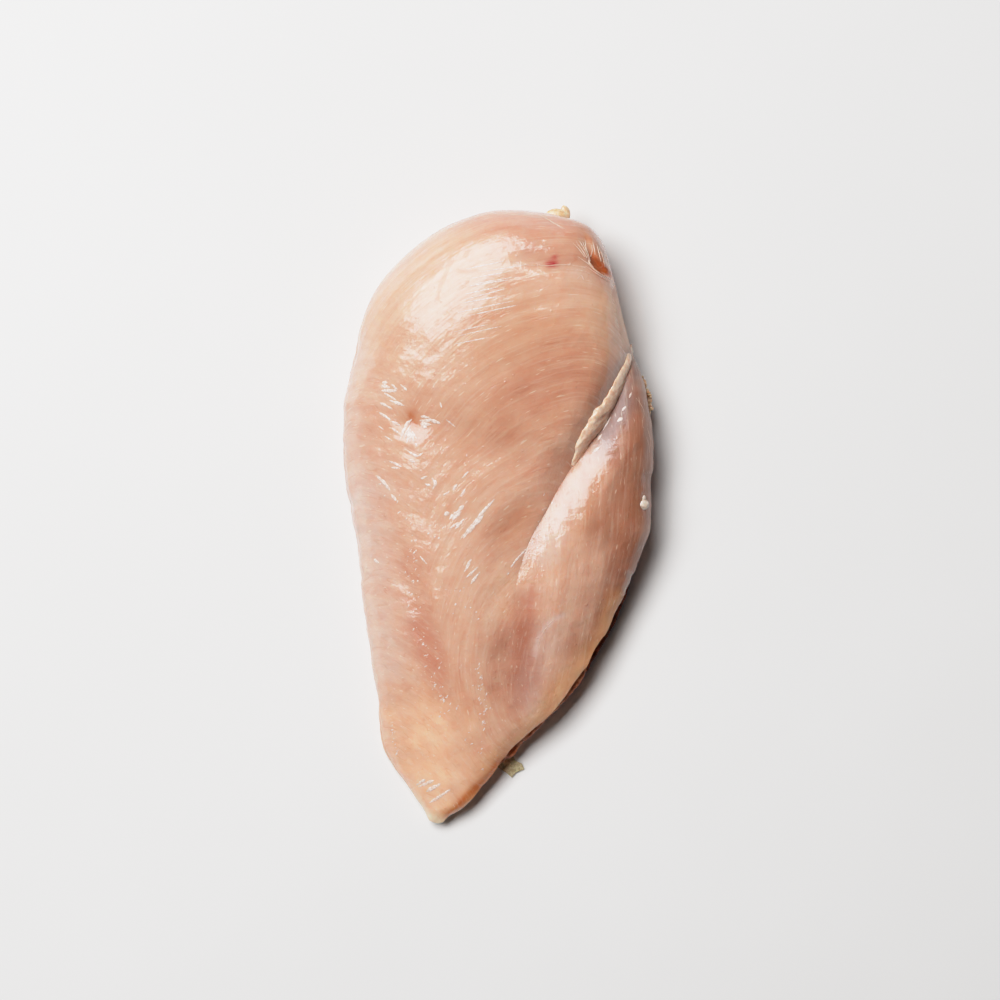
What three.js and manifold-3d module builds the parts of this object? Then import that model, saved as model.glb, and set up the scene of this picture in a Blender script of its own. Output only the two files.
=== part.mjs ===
// A raw, boneless, skinless chicken breast, lying smooth side up with its thin tip towards -Y
// and its thick end towards +Y. Millimetres, +Z up. The origin is on the surface it lies on,
// under the middle of the piece.
//
// The meat is one closed skin over four lines that run from the tip to the thick end: the two
// rims, where the outline is widest, the spine, which is the top of the arch, and the crease,
// where the thick lobe rolls over the folded right lobe. The underside rounds in from the rims
// and lies flat. Fat and torn edges are closed lumps, strips and a film, joined to the meat.
import * as THREE from "three";
import { mergeVertices } from "three/addons/utils/BufferGeometryUtils.js";
import Module from "manifold-3d";

// Driving dimensions
const THICKNESS = 36; // floor to the top of the thick lobe
const TIP = [-8.4, -90.1, 0.13]; // thin end: x, y, and height as a share of the thickness
const HEAD = [1, 88.3, 0.43]; // thick end, the same way

// The lines, each from the tip to the thick end, as x, y and a share of the thickness
const LEFT_RIM = [
  TIP, [-11, -89.3, 0.12], [-12.6, -86.6, 0.1], [-17.7, -80.2, 0.09], [-23.1, -74.2, 0.09],
  [-26.8, -67.6, 0.1], [-28.6, -57, 0.11], [-31.8, -44, 0.12], [-35.4, -28, 0.13],
  [-38.8, -11, 0.15], [-42.8, 4, 0.17], [-45.2, 18, 0.19], [-45.4, 29, 0.21], [-44, 43, 0.24],
  [-42.1, 55, 0.28], [-38.2, 64, 0.31], [-32.8, 71, 0.34], [-26, 77.6, 0.37], [-18, 83, 0.4],
  [-9, 86.9, 0.42], HEAD,
];
const RIGHT_RIM = [
  TIP, [-6.8, -89.5, 0.15], [-5.6, -88.2, 0.17], [-4.5, -87.1, 0.18], [-2.4, -85.5, 0.2],
  [-0.7, -84, 0.21], [1.1, -81.1, 0.23], [5.1, -75.2, 0.25], [8.6, -69.5, 0.29],
  [13.5, -63, 0.33], [20, -56, 0.37], [25.4, -48, 0.4], [30.4, -39.5, 0.41], [34.8, -30, 0.4],
  [38.6, -20, 0.385], [42, -10, 0.36], [44.6, 0, 0.33], [44.7, 8, 0.3], [44.2, 20, 0.28],
  [43, 31, 0.27], [40.6, 40, 0.28], [37, 47.5, 0.31], [34, 54, 0.34], [32, 60, 0.36],
  [29.2, 69, 0.37], [27, 75, 0.37], [24.4, 80.6, 0.38], [20.4, 84.6, 0.4], [15, 86.6, 0.41],
  [8, 87.9, 0.42], HEAD,
];
const SPINE = [
  TIP, [-6, -86, 0.22], [-3.5, -80, 0.28], [-0.5, -70, 0.37], [1.5, -55, 0.49],
  [2, -40, 0.59], [2, -20, 0.68], [2, 0, 0.75], [2, 20, 0.83], [2.5, 38, 0.93],
  [3, 53, 0.99], [3, 64, 0.985], [2, 72, 0.955], [1, 77.5, 0.91], [1, 81.5, 0.84],
  [1, 85.2, 0.72], [1, 87.3, 0.58], [1, 88.1, 0.47], HEAD,
];
// The crease's third number is how much of the arch it cuts away
const CREASE = [
  TIP, [-3, -82, 0], [5, -68, 0], [11.5, -57, 0.06], [12.5, -49, 0.24], [10.5, -40, 0.36],
  [8.6, -29, 0.2], [8.2, -20, 0.26], [9, -13, 0.29], [11.2, -5, 0.3], [14.4, 2, 0.3],
  [18.6, 11.5, 0.3], [23.5, 20.5, 0.33], [28, 28.5, 0.35], [31.4, 36, 0.37], [33.6, 43, 0.4],
  [34.9, 49, 0.42], [33, 56, 0.2], [30, 62, 0], [24, 73, 0], [15, 82, 0], [7, 86.6, 0], HEAD,
];

// How the sections are shaped
const BODY_FULLNESS = 1.8; // 2 is an ellipse, less is flatter: the left flank of the thin half
const LOBE_FULLNESS = 1.95; // the left flank of the thick lobe
const LOBE_STARTS = [5, 50]; // between these y the left flank turns into the thick lobe
const RIGHT_FULLNESS = 3.1; // the right flank of the thick half, before the crease is cut
const EDGE_POWER = 2.6; // the right flank of the thin half, which slopes down to a crisp edge
const EDGE_ROUNDS = [-32, 0]; // between these y that edge turns into the rounded flank
const CREASE_LEFT_REACH = 15; // the shoulder of the thick lobe
const CREASE_RIGHT_REACH = 12.5; // the slope of the folded lobe
const CREASE_CRISP = [-28, -10]; // between these y the soft valley turns into a crisp fold
const LEFT_SHARPNESS = [1.8, 3.2]; // how sharply the shoulder drops, below and above
const SHARPENS = [-2, 20]; // between these y it turns from the one to the other
const RIGHT_SHARPNESS = 1.2;
const LOBE_DROP = 0.1; // share of the cut that the whole folded lobe keeps, so it lies lower
const FOOT_INSET_LEFT = 0.75; // how far the floor contact stays in, for each mm of rim height
const FOOT_INSET_RIGHT = 1.05;
const TIP_INSET = 3;
const HEAD_INSET = 12;

// Hollows in the upper surface: middle, direction in degrees, half length, half width, depth
const HOLLOWS = [
  { at: [-4, 20], turn: -17, reach: [25, 7], depth: 1.9 }, // foot of the thick lobe
  { at: [-25.4, 25], turn: -35, reach: [3.4, 2.5], depth: 1.5 }, // dimple
  { at: [5, -3], turn: 62, reach: [13, 5], depth: 1.1 }, // beside the end of the crease
  { at: [-15, -34], turn: -61, reach: [32, 3.2], depth: 0.9 }, // seam between the two grains
  { at: [12.6, 71.8], turn: 1, reach: [12, 1.8], depth: 0.7 }, // edge of the thin skin
  { at: [22.6, 78.4], turn: -62, reach: [5, 2], depth: -1.4 }, // swell of the tucked flap
];
// Groove between the skin and the tucked flap at the thick end, as x, y and depth
const FLAP_GROOVE = [
  [18.3, 81.6, 0.3], [19.6, 78.6, 0.6], [20.6, 76.4, 1.2], [21.6, 74.4, 2.6], [23, 73, 3.6],
  [24.8, 71.9, 3.6], [27, 70.9, 2],
];
const FLAP_GROOVE_REACH = 1.8;

// Rows run across the piece and columns along it. The end rows draw in as the outline turns.
const TIP_ROWS = 6;
const MIDDLE_ROWS = 52;
const HEAD_ROWS = 16;
const TIP_ROWS_END = -81;
const HEAD_ROWS_START = 66;
const LEFT_COLUMNS = 15;
const SHOULDER_COLUMNS = 12;
const FOLD_COLUMNS = 12;
const UNDER_COLUMNS = 4;
const FLOOR_COLUMNS = 5;
const LINE_STEPS = 600; // short straight steps that stand for each smooth line
const SLOPE_STEP = 0.5; // how far apart two heights are read for a slope
const STRIP_STEP = 1.7;
const STRIP_SIDES = 8;
const LUMP_SIDES = 12;
const LUMP_RINGS = 7;
const LUMP_UNEVENNESS = 0.07;
const LUMP_WAVES = [5, 4]; // waves of a lump's unevenness, as radians over its half length
const STRIP_WAVES = [2.3, 0.9]; // waves of a strip's edges, as radians over a step
const LINE_TENSION = 0.5;
const FLOOR_GAP = 0.1; // what lies beside the meat stays this far above the floor
const FOOT_REACH = 0.45; // most that a foot may stay in, as a share of a row's width

const MEAT_COLOUR = 0xdba98c;

const clamp01 = (v) => Math.min(Math.max(v, 0), 1);
const mix = THREE.MathUtils.lerp;
const smooth = THREE.MathUtils.smoothstep;
// Quarter of a round: 0 at the start, where it stands upright, and 1 at the end, where it lies flat.
const roundUp = (q) => Math.sqrt(1 - (1 - clamp01(q)) ** 2);
const wave = (a, b) => Math.sin(a) * Math.cos(b);

// A line as a function of y that gives its x and its third number.
function lineAlong(points) {
  const controls = points.map((p) => new THREE.Vector3(...p));
  const curve = new THREE.CatmullRomCurve3(controls, false, "catmullrom", LINE_TENSION);
  const steps = curve.getPoints(LINE_STEPS);
  return (y) => {
    const found = steps.findIndex((p) => p.y >= y);
    const next = Math.max(found < 0 ? steps.length - 1 : found, 1);
    const [a, b] = [steps[next - 1], steps[next]];
    const share = clamp01((y - a.y) / (b.y - a.y || 1));
    return { x: mix(a.x, b.x, share), value: mix(a.z, b.z, share) };
  };
}
const leftRim = lineAlong(LEFT_RIM);
const rightRim = lineAlong(RIGHT_RIM);
const spine = lineAlong(SPINE);
const crease = lineAlong(CREASE);

// How deep the hollows are at a place.
function hollowDepth(x, y) {
  return HOLLOWS.reduce((sum, { at, turn, reach, depth }) => {
    const angle = THREE.MathUtils.degToRad(turn);
    const [dx, dy] = [x - at[0], y - at[1]];
    const along = (dx * Math.cos(angle) + dy * Math.sin(angle)) / reach[0];
    const across = (dy * Math.cos(angle) - dx * Math.sin(angle)) / reach[1];
    return sum + depth * Math.exp(-along * along - across * across);
  }, 0);
}

// The share of the right flank's arch that the crease takes away: a fold above, a soft valley below.
function creaseCut(x, y) {
  const line = crease(y);
  const reach = x < line.x ? CREASE_LEFT_REACH : CREASE_RIGHT_REACH;
  const away = clamp01(Math.abs(x - line.x) / reach);
  const leftSharpness = mix(...LEFT_SHARPNESS, smooth(y, ...SHARPENS));
  const fold = (1 - away) ** (x < line.x ? leftSharpness : RIGHT_SHARPNESS);
  const valley = (1 + Math.cos(Math.PI * away)) / 2;
  const crisp = smooth(y, ...CREASE_CRISP);
  const drop = x < line.x ? 0 : LOBE_DROP * crisp;
  return Math.max(line.value, 0) * mix(mix(valley, fold, crisp), 1, drop);
}

// How deep the groove beside the tucked flap is at a place.
function grooveDepth(x, y) {
  const place = new THREE.Vector2(x, y);
  let deepest = 0;
  for (let i = 0; i + 1 < FLAP_GROOVE.length; i++) {
    const [a, b] = [FLAP_GROOVE[i], FLAP_GROOVE[i + 1]];
    const start = new THREE.Vector2(a[0], a[1]);
    const along = new THREE.Vector2(b[0], b[1]).sub(start);
    const share = clamp01(place.clone().sub(start).dot(along) / along.lengthSq());
    const away = start.addScaledVector(along, share).distanceTo(place) / FLAP_GROOVE_REACH;
    deepest = Math.max(deepest, mix(a[2], b[2], share) * (1 - smooth(away, 0, 1)));
  }
  return deepest;
}

// Height of the upper surface.
function topHeight(x, y) {
  const top = spine(y);
  const onLeft = x < top.x;
  const right = rightRim(y);
  const rim = onLeft ? leftRim(y) : right;
  const leftFullness = mix(BODY_FULLNESS, LOBE_FULLNESS, smooth(y, ...LOBE_STARTS));
  const fullness = onLeft ? leftFullness : RIGHT_FULLNESS;
  const out = clamp01((x - top.x) / (rim.x - top.x || 1));
  const rounded = (1 - out ** fullness) ** (1 / fullness);
  const edged = mix(1 - out ** EDGE_POWER, rounded, smooth(y, ...EDGE_ROUNDS));
  const arch = onLeft ? rounded : edged;
  const cut = (top.value - right.value) * creaseCut(x, y);
  const full = (top.value - rim.value - cut) * THICKNESS;
  const raised = full - hollowDepth(x, y) - grooveDepth(x, y);
  return rim.value * THICKNESS + Math.max(raised, 0) * arch;
}

// Height of the underside, which is flat where the piece lies on the floor.
function underHeight(x, y) {
  const [left, right] = [leftRim(y), rightRim(y)];
  const rim = THICKNESS * mix(left.value, right.value, clamp01((x - left.x) / (right.x - left.x || 1)));
  const landed =
    roundUp((x - left.x) / (FOOT_INSET_LEFT * left.value * THICKNESS)) *
    roundUp((right.x - x) / (FOOT_INSET_RIGHT * right.value * THICKNESS)) *
    roundUp((y - TIP[1]) / TIP_INSET) *
    roundUp((HEAD[1] - y) / HEAD_INSET);
  return rim * (1 - landed);
}

// Where the rows are, from the tip to the thick end.
function rowPlaces() {
  const steps = (count) => Array.from({ length: count }, (_, i) => i / count);
  return [
    ...steps(TIP_ROWS).map((t) => mix(TIP[1], TIP_ROWS_END, t * t)),
    ...steps(MIDDLE_ROWS).map((t) => mix(TIP_ROWS_END, HEAD_ROWS_START, t)),
    ...steps(HEAD_ROWS).map((t) => mix(HEAD[1], HEAD_ROWS_START, (1 - t) ** 2)),
    HEAD[1],
  ];
}

// The closed loop of one row: over the top from the left rim to the right, and back underneath.
function rowLoop(y) {
  const [left, top, fold, right] = [leftRim(y), spine(y), crease(y), rightRim(y)];
  const quarter = (i, count) => Math.sin((Math.PI / 2) * (i / count));
  const loop = [];
  const over = (x) => loop.push([x, y, topHeight(x, y)]);
  const under = (x) => loop.push([x, y, underHeight(x, y)]);
  for (let i = LEFT_COLUMNS; i > 0; i--) over(mix(top.x, left.x, quarter(i, LEFT_COLUMNS)));
  for (let i = 0; i < SHOULDER_COLUMNS; i++) over(mix(top.x, fold.x, quarter(i, SHOULDER_COLUMNS)));
  for (let i = 0; i <= FOLD_COLUMNS; i++) {
    over(mix(fold.x, right.x, (1 - Math.cos((Math.PI * i) / FOLD_COLUMNS)) / 2));
  }
  const reach = right.x - left.x;
  const footRight = right.x - Math.min(FOOT_INSET_RIGHT * right.value * THICKNESS, reach * FOOT_REACH);
  const footLeft = left.x + Math.min(FOOT_INSET_LEFT * left.value * THICKNESS, reach * FOOT_REACH);
  for (let i = UNDER_COLUMNS - 1; i > 0; i--) under(mix(footRight, right.x, quarter(i, UNDER_COLUMNS)));
  for (let i = 0; i <= FLOOR_COLUMNS; i++) under(mix(footRight, footLeft, i / FLOOR_COLUMNS));
  for (let i = 1; i < UNDER_COLUMNS; i++) under(mix(footLeft, left.x, quarter(i, UNDER_COLUMNS)));
  return loop;
}

// A closed skin over loops of equally many points, drawn to a point at each end.
function skinOver(first, loops, last) {
  const around = loops[0].length;
  const places = [first, ...loops.flat(), last];
  const faces = [];
  const at = (row, column) => 1 + row * around + (column % around);
  for (let c = 0; c < around; c++) {
    faces.push(0, at(0, c + 1), at(0, c));
    for (let r = 0; r + 1 < loops.length; r++) {
      faces.push(at(r, c), at(r + 1, c + 1), at(r + 1, c));
      faces.push(at(r, c), at(r, c + 1), at(r + 1, c + 1));
    }
    faces.push(places.length - 1, at(loops.length - 1, c), at(loops.length - 1, c + 1));
  }
  const geometry = new THREE.BufferGeometry();
  geometry.setAttribute("position", new THREE.Float32BufferAttribute(places.flat(), 3));
  geometry.setIndex(faces);
  return geometry;
}

// The meat itself.
function meat() {
  const rows = rowPlaces().slice(1, -1);
  const end = ([x, y, share]) => [x, y, share * THICKNESS];
  return skinOver(end(TIP), rows.map(rowLoop), end(HEAD));
}

// The library that joins closed shapes.
const wasm = await Module();
wasm.setup();

function solidOf(geometry) {
  const bare = geometry.clone();
  bare.deleteAttribute("normal");
  bare.deleteAttribute("uv");
  const merged = mergeVertices(bare, 1e-4);
  return new wasm.Manifold(
    new wasm.Mesh({
      numProp: 3,
      vertProperties: new Float32Array(merged.attributes.position.array),
      triVerts: new Uint32Array(merged.index.array),
    }),
  );
}

function geometryOf(solid) {
  const made = solid.getMesh();
  const geometry = new THREE.BufferGeometry();
  geometry.setAttribute("position", new THREE.BufferAttribute(made.vertProperties, 3));
  geometry.setIndex(new THREE.BufferAttribute(made.triVerts, 1));
  geometry.computeVertexNormals();
  return geometry;
}

// A closed strip of tissue along a path of x, y, z and half width, flattened to a share of its
// width, with uneven edges.
function strip({ path, flatness, unevenness, lies }) {
  const curve = new THREE.CatmullRomCurve3(path.map(([x, y, z]) => new THREE.Vector3(x, y, z)));
  const widths = new THREE.CatmullRomCurve3(path.map(([, , , w], i) => new THREE.Vector3(i, w, 0)));
  const count = Math.round(curve.getLength() / STRIP_STEP);
  const loops = [];
  for (let i = 1; i < count; i++) {
    const t = i / count;
    const middle = curve.getPoint(t);
    const along = curve.getTangent(t);
    const up = lies(middle.x, middle.y);
    const side = new THREE.Vector3().crossVectors(along, up).normalize();
    const over = new THREE.Vector3().crossVectors(side, along).normalize();
    const ragged = 1 + unevenness * wave(i * STRIP_WAVES[0], i * STRIP_WAVES[1] + 1);
    const half = widths.getPoint(t).y * ragged;
    const loop = [];
    for (let k = 0; k < STRIP_SIDES; k++) {
      const turn = (2 * Math.PI * k) / STRIP_SIDES;
      const place = middle.clone();
      place.addScaledVector(side, -half * Math.cos(turn));
      place.addScaledVector(over, half * flatness * Math.sin(turn));
      loop.push([place.x, place.y, Math.max(place.z, FLOOR_GAP)]);
    }
    loops.push(loop);
  }
  const [first, last] = [curve.getPoint(0), curve.getPoint(1)];
  return skinOver(first.toArray(), loops, last.toArray());
}

// A small uneven lump of fat or meat.
function lump({ at, half, turn = 0 }) {
  const ball = new THREE.SphereGeometry(1, LUMP_SIDES, LUMP_RINGS);
  const places = ball.attributes.position;
  const place = new THREE.Vector3();
  for (let i = 0; i < places.count; i++) {
    place.fromBufferAttribute(places, i);
    const [across, along] = [LUMP_WAVES[0] * place.x + at[0], LUMP_WAVES[1] * place.y + at[1]];
    const bump = 1 + LUMP_UNEVENNESS * wave(across, along);
    places.setXYZ(i, ...place.multiplyScalar(bump).toArray());
  }
  ball.scale(...half);
  ball.rotateZ(THREE.MathUtils.degToRad(turn));
  ball.translate(...at);
  return ball;
}

// Which way the upper surface faces, for what lies on it.
function facing(x, y) {
  const across = topHeight(x + SLOPE_STEP, y) - topHeight(x - SLOPE_STEP, y);
  const along = topHeight(x, y + SLOPE_STEP) - topHeight(x, y - SLOPE_STEP);
  return new THREE.Vector3(-across, -along, 2 * SLOPE_STEP).normalize();
}
const upright = () => new THREE.Vector3(0, 0, 1);

// The strip of fat on the lip of the thick lobe: x, y and half width, sunk into the meat.
const FAT_STRIP = [
  [35.3, 52.4, 0.9], [34.4, 47.6, 2], [32.8, 42.6, 2.7], [30.8, 37.6, 3.4], [28.6, 32.6, 3.8],
  [26.2, 28, 3.7], [24, 24, 3.1], [22.6, 20.4, 2.2], [21.2, 16.4, 0.9],
];
const FAT_STRIP_SUNK = 0.12; // share of its half width that its middle lies below the surface
const fatStrip = {
  path: FAT_STRIP.map(([x, y, half]) => [x, y, topHeight(x, y) - FAT_STRIP_SUNK * half, half]),
  flatness: 0.36,
  unevenness: 0.12,
  lies: facing,
};
// The torn layer and the lower one that look out from under the right rim of the thin half.
// They lie deep in the meat, so only their ragged outer edges show.
const tornLayer = {
  path: [
    [30.4, -34, 11.6, 0.8], [28.7, -38.6, 11.4, 2], [26.7, -43, 11.2, 3], [24.3, -47, 10.8, 3.7],
    [21.3, -50.8, 10.2, 3.5], [18.3, -54.6, 9.6, 3], [15.2, -58.6, 8.6, 2.9], [12, -62, 8, 3.1],
    [9.4, -65.3, 7, 3.4], [6.8, -68.4, 6, 3.7], [4.6, -71.2, 5.4, 3], [2.6, -73.6, 4.8, 1],
  ],
  flatness: 0.4,
  unevenness: 0.1,
  lies: upright,
};
const lowerLayer = {
  path: [
    [40.8, -6, 2, 0.8], [38.6, -14, 2.2, 3], [35.8, -22, 2.4, 3.9], [32, -31, 2.4, 4.2],
    [27.8, -39, 2.4, 4.4], [23.6, -46, 2.4, 4.4], [18.8, -52.6, 2.2, 4], [13.6, -58.8, 2, 3],
    [9.6, -64, 2, 1.4],
  ],
  flatness: 0.3,
  unevenness: 0.1,
  lies: upright,
};
// A film of membrane that comes out from under the meat and lies on the floor, seen from above.
const FILM_OUTLINE = [
  [3, -66], [5.4, -69.6], [7.8, -72.8], [10.2, -74], [12.1, -75.4], [13, -73.6], [15.3, -72.4],
  [14.4, -70.9], [12.4, -70.2], [10.9, -67.4], [7, -63],
];
const FILM_BOTTOM = 0.3;
const FILM_THICKNESS = 1;

const lumps = [
  { at: [10.3, 87.4, 12.8], half: [3.5, 2.3, 1.7], turn: 20 }, // nub of fat at the thick end
  { at: [13, 88.7, 12.5], half: [1.4, 2.3, 1.4], turn: 12 },
  { at: [42, 7.4, 19.8], half: [1.9, 1.7, 1.8] }, // white nodule on the right flank, and its neck
  { at: [41.9, 9, 20.2], half: [0.9, 1.2, 0.9] },
  { at: [39.9, 42, 11], half: [0.8, 1.5, 0.9], turn: 20 }, // crumbs of fat above it
  { at: [41.6, 37.8, 10.4], half: [0.8, 2.4, 1], turn: 18 },
  { at: [-12.2, -85.6, 3.4], half: [0.9, 2.6, 1.2], turn: 35 }, // film of fat by the tip
];

// The film as a thin plate with the outline's corners.
function film() {
  const outline = new THREE.Shape(FILM_OUTLINE.map(([x, y]) => new THREE.Vector2(x, y)));
  const plate = new THREE.ExtrudeGeometry(outline, { depth: FILM_THICKNESS, bevelEnabled: false });
  return plate.translate(0, 0, FILM_BOTTOM);
}

const strips = [fatStrip, tornLayer, lowerLayer].map(strip);
const pieces = [meat(), ...strips, film(), ...lumps.map(lump)];
const joined = pieces.map(solidOf).reduce((sum, piece) => sum.add(piece));
// The largest shell is the outer one, so a gap that joining has sealed is filled.
const larger = (a, b) => (b.volume() > a.volume() ? b : a);
const whole = joined.decompose().reduce(larger);

const breast = new THREE.Mesh(
  geometryOf(whole),
  new THREE.MeshStandardMaterial({ color: MEAT_COLOUR, roughness: 0.35, metalness: 0 }),
);
breast.name = "chicken_breast";
const group = new THREE.Group();
group.add(breast);

export default group;
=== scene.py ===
"""A raw, boneless, skinless chicken breast, lying smooth side up.

The meat is one fine skin over four lines that run from the tip to the thick end: the two rims,
the spine and the crease where the thick lobe rolls over the folded one. Fat, torn edges, films,
threads of tissue, a dark strip under the right rim that is painted shadow, and thin white
ribbons that are painted glints are small pieces of their own that lie on it. Some washes of
tone on the meat are painted shade. Shapes are in millimetres and become metres when a mesh is
made. The thin tip points towards -Y.
"""
import math

import bmesh
import bpy
import numpy as np
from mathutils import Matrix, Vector, noise
from mathutils.bvhtree import BVHTree


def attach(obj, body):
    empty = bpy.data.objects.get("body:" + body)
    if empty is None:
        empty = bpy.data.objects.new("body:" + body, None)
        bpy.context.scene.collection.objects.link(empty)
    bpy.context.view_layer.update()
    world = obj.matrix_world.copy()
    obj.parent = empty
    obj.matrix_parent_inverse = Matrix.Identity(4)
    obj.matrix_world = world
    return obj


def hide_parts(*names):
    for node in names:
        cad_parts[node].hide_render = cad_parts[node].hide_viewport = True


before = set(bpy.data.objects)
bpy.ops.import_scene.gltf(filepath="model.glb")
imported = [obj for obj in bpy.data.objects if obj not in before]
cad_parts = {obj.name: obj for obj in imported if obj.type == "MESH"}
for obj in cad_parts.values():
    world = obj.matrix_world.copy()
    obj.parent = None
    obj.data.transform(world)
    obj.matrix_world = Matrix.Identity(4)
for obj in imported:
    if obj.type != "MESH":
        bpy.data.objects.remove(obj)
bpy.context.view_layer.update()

NODE = "chicken_breast"
BODY = "root"
MM = 0.001
NEARLY_ZERO = 1e-9

# Main sizes and lines, each line from the tip to the thick end as x, y and a share of the
# thickness. The crease's third number is how much of the arch it cuts away.
THICKNESS = 36
TIP = (-8.4, -90.1, 0.13)
HEAD = (1, 88.3, 0.43)
LEFT_RIM = (
    TIP, (-11, -89.3, 0.12), (-12.6, -86.6, 0.1), (-17.7, -80.2, 0.09), (-23.1, -74.2, 0.09),
    (-26.8, -67.6, 0.1), (-28.6, -57, 0.11), (-31.8, -44, 0.12), (-35.4, -28, 0.13),
    (-38.8, -11, 0.15), (-42.8, 4, 0.17), (-45.2, 18, 0.19), (-45.4, 29, 0.21), (-44, 43, 0.24),
    (-42.1, 55, 0.28), (-38.2, 64, 0.31), (-32.8, 71, 0.34), (-26, 77.6, 0.37), (-18, 83, 0.4),
    (-9, 86.9, 0.42), HEAD,
)
RIGHT_RIM = (
    TIP, (-6.8, -89.5, 0.15), (-5.6, -88.2, 0.17), (-4.5, -87.1, 0.18), (-2.4, -85.5, 0.2),
    (-0.7, -84, 0.21), (1.1, -81.1, 0.23), (5.1, -75.2, 0.25),
    (8.6, -69.5, 0.29), (13.5, -63, 0.33), (20, -56, 0.37), (25.4, -48, 0.4),
    (30.4, -39.5, 0.41), (34.8, -30, 0.4), (38.6, -20, 0.385), (42, -10, 0.36), (44.6, 0, 0.33),
    (44.7, 8, 0.3), (44.2, 20, 0.28), (43, 31, 0.27), (40.6, 40, 0.28), (37, 47.5, 0.31),
    (34, 54, 0.34), (32, 60, 0.36), (29.2, 69, 0.37), (27, 75, 0.37), (24.4, 80.6, 0.38),
    (20.4, 84.6, 0.4), (15, 86.6, 0.41), (8, 87.9, 0.42), HEAD,
)
SPINE = (
    TIP, (-6, -86, 0.22), (-3.5, -80, 0.28), (-0.5, -70, 0.37), (1.5, -55, 0.49),
    (2, -40, 0.59), (2, -20, 0.68), (2, 0, 0.75), (2, 20, 0.83), (2.5, 38, 0.93), (3, 53, 0.99),
    (3, 64, 0.985), (2, 72, 0.955), (1, 77.5, 0.91), (1, 81.5, 0.84), (1, 85.2, 0.72),
    (1, 87.3, 0.58), (1, 88.1, 0.47), HEAD,
)
CREASE = (
    TIP, (-3, -82, 0), (5, -68, 0), (11.5, -57, 0.06), (12.5, -49, 0.24), (10.5, -40, 0.36),
    (8.6, -29, 0.2), (8.2, -20, 0.26), (9, -13, 0.29), (11.2, -5, 0.3), (14.4, 2, 0.3),
    (18.6, 11.5, 0.3), (23.5, 20.5, 0.33), (28, 28.5, 0.35), (31.4, 36, 0.37), (33.6, 43, 0.4),
    (34.9, 49, 0.42), (33, 56, 0.2), (30, 62, 0), (24, 73, 0), (15, 82, 0), (7, 86.6, 0), HEAD,
)

# How the sections are shaped. An arch with a fullness of 2 is round, and with more it is squarer.
# LOBE_STARTS, EDGE_ROUNDS, CREASE_CRISP and SHARPENS are stretches of y over which a change
# sets in, and LEFT_SHARPNESS is the sharpness before and after such a change.
BODY_FULLNESS = 1.8
LOBE_FULLNESS = 1.95
LOBE_STARTS = (5, 50)
RIGHT_FULLNESS = 3.1
EDGE_POWER = 2.6
EDGE_ROUNDS = (-32, 0)
CREASE_LEFT_REACH = 15
CREASE_RIGHT_REACH = 12.5
CREASE_CRISP = (-28, -10)
LEFT_SHARPNESS = (1.8, 3.2)
SHARPENS = (-2, 20)
RIGHT_SHARPNESS = 1.2
LOBE_DROP = 0.1
FOOT_INSET_LEFT = 0.75
FOOT_INSET_RIGHT = 1.05
TIP_INSET = 3
HEAD_INSET = 12
FOOT_REACH = 0.45

# Hollows in the upper surface: middle, direction in degrees, half length and width, depth.
# A depth below zero is a swelling.
HOLLOWS = (
    ((-4, 20), -17, (25, 7), 1.9),
    ((-25.4, 25), -35, (3.4, 2.5), 1.5),
    ((5, -3), 62, (13, 5), 1.1),
    ((-15, -34), -61, (32, 3.2), 0.9),
    ((12.6, 71.8), 1, (12, 1.8), 0.7),
    ((22.6, 78.4), -62, (5, 2), -1.4),
)
# The groove beside the tucked flap: x, y and depth
FLAP_GROOVE = (
    (18.3, 81.6, 0.3), (19.6, 78.6, 0.6), (20.6, 76.4, 1.2), (21.6, 74.4, 2.6), (23, 73, 3.6),
    (24.8, 71.9, 3.6), (27, 70.9, 2),
)
FLAP_GROOVE_REACH = 1.8

# The grid of the skin: rows run across the piece and columns along it
TIP_ROWS = 30
MIDDLE_ROWS = 300
HEAD_ROWS = 70
TIP_ROWS_END = -81
HEAD_ROWS_START = 66
LEFT_COLUMNS = 70
SHOULDER_COLUMNS = 36
FOLD_COLUMNS = 60
UNDER_COLUMNS = 12
FLOOR_COLUMNS = 16
LINE_STEPS = 600
LINE_TENSION = 0.5

# Low relief of the meat: size across in millimetres, height in millimetres, seed
LUMPS = ((14, 0.35, 3), (6, 0.13, 4))
RIPPLE_WIDTH = 2.6
RIPPLE_LENGTH = 22
RIPPLE_HEIGHT = 0.09
RIPPLE_SEED = 5
END_FADE = 6
NOISE_CELLS = 64

# How far each rim wanders sideways, with its seed, and how long the waves are
LEFT_RAGGED = (0.2, 41)
RIGHT_RAGGED = (0.38, 42)
RAGGED_ENDS = (42, 56)
RAGGED_LONG = 5
RAGGED_SHORT = 1.9
RAGGED_SHORT_SHARE = 0.5

# The grain of the meat. On the thick lobe and the middle its fibres run in circles round a
# place beside the piece, and on the left margin and the folded lobe they run straight.
GRAIN_NAMES = ("middle", "margin", "fold")
GRAIN_CENTRE = (45, -45)
GRAIN_ARC = 70
GRAIN_FALL = 0.7
MARGIN_TURN = -38
FOLD_TURN = 94
# The seam where the margin's grain meets the middle's, and where the folded lobe's takes over
SEAM = (
    (-36, 60), (-32, 43), (-25.5, 27), (-21, 15), (-18.6, -2.5), (-16, -20), (-12, -36.6),
    (-6.4, -53.5), (-0.5, -70), (4, -84),
)
SEAM_BLEND = 3
SEAM_TOP = (34, 50)
SEAM_WOBBLE = 1.5
SEAM_WOBBLE_SIZE = 7
SEAM_WOBBLE_SEED = 21
FOLD_BLEND = (-35, 0)
FOLD_BLEND_WIDTHS = (14, 1)
FOLD_BLEND_SIDES = (-0.2, 0.8)
FOLD_STARTS = (-72, -50)
FOLD_ENDS = (52, 58)


def clamp01(value):
    return np.clip(value, 0.0, 1.0)


def mix(a, b, share):
    return a + (b - a) * share


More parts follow.
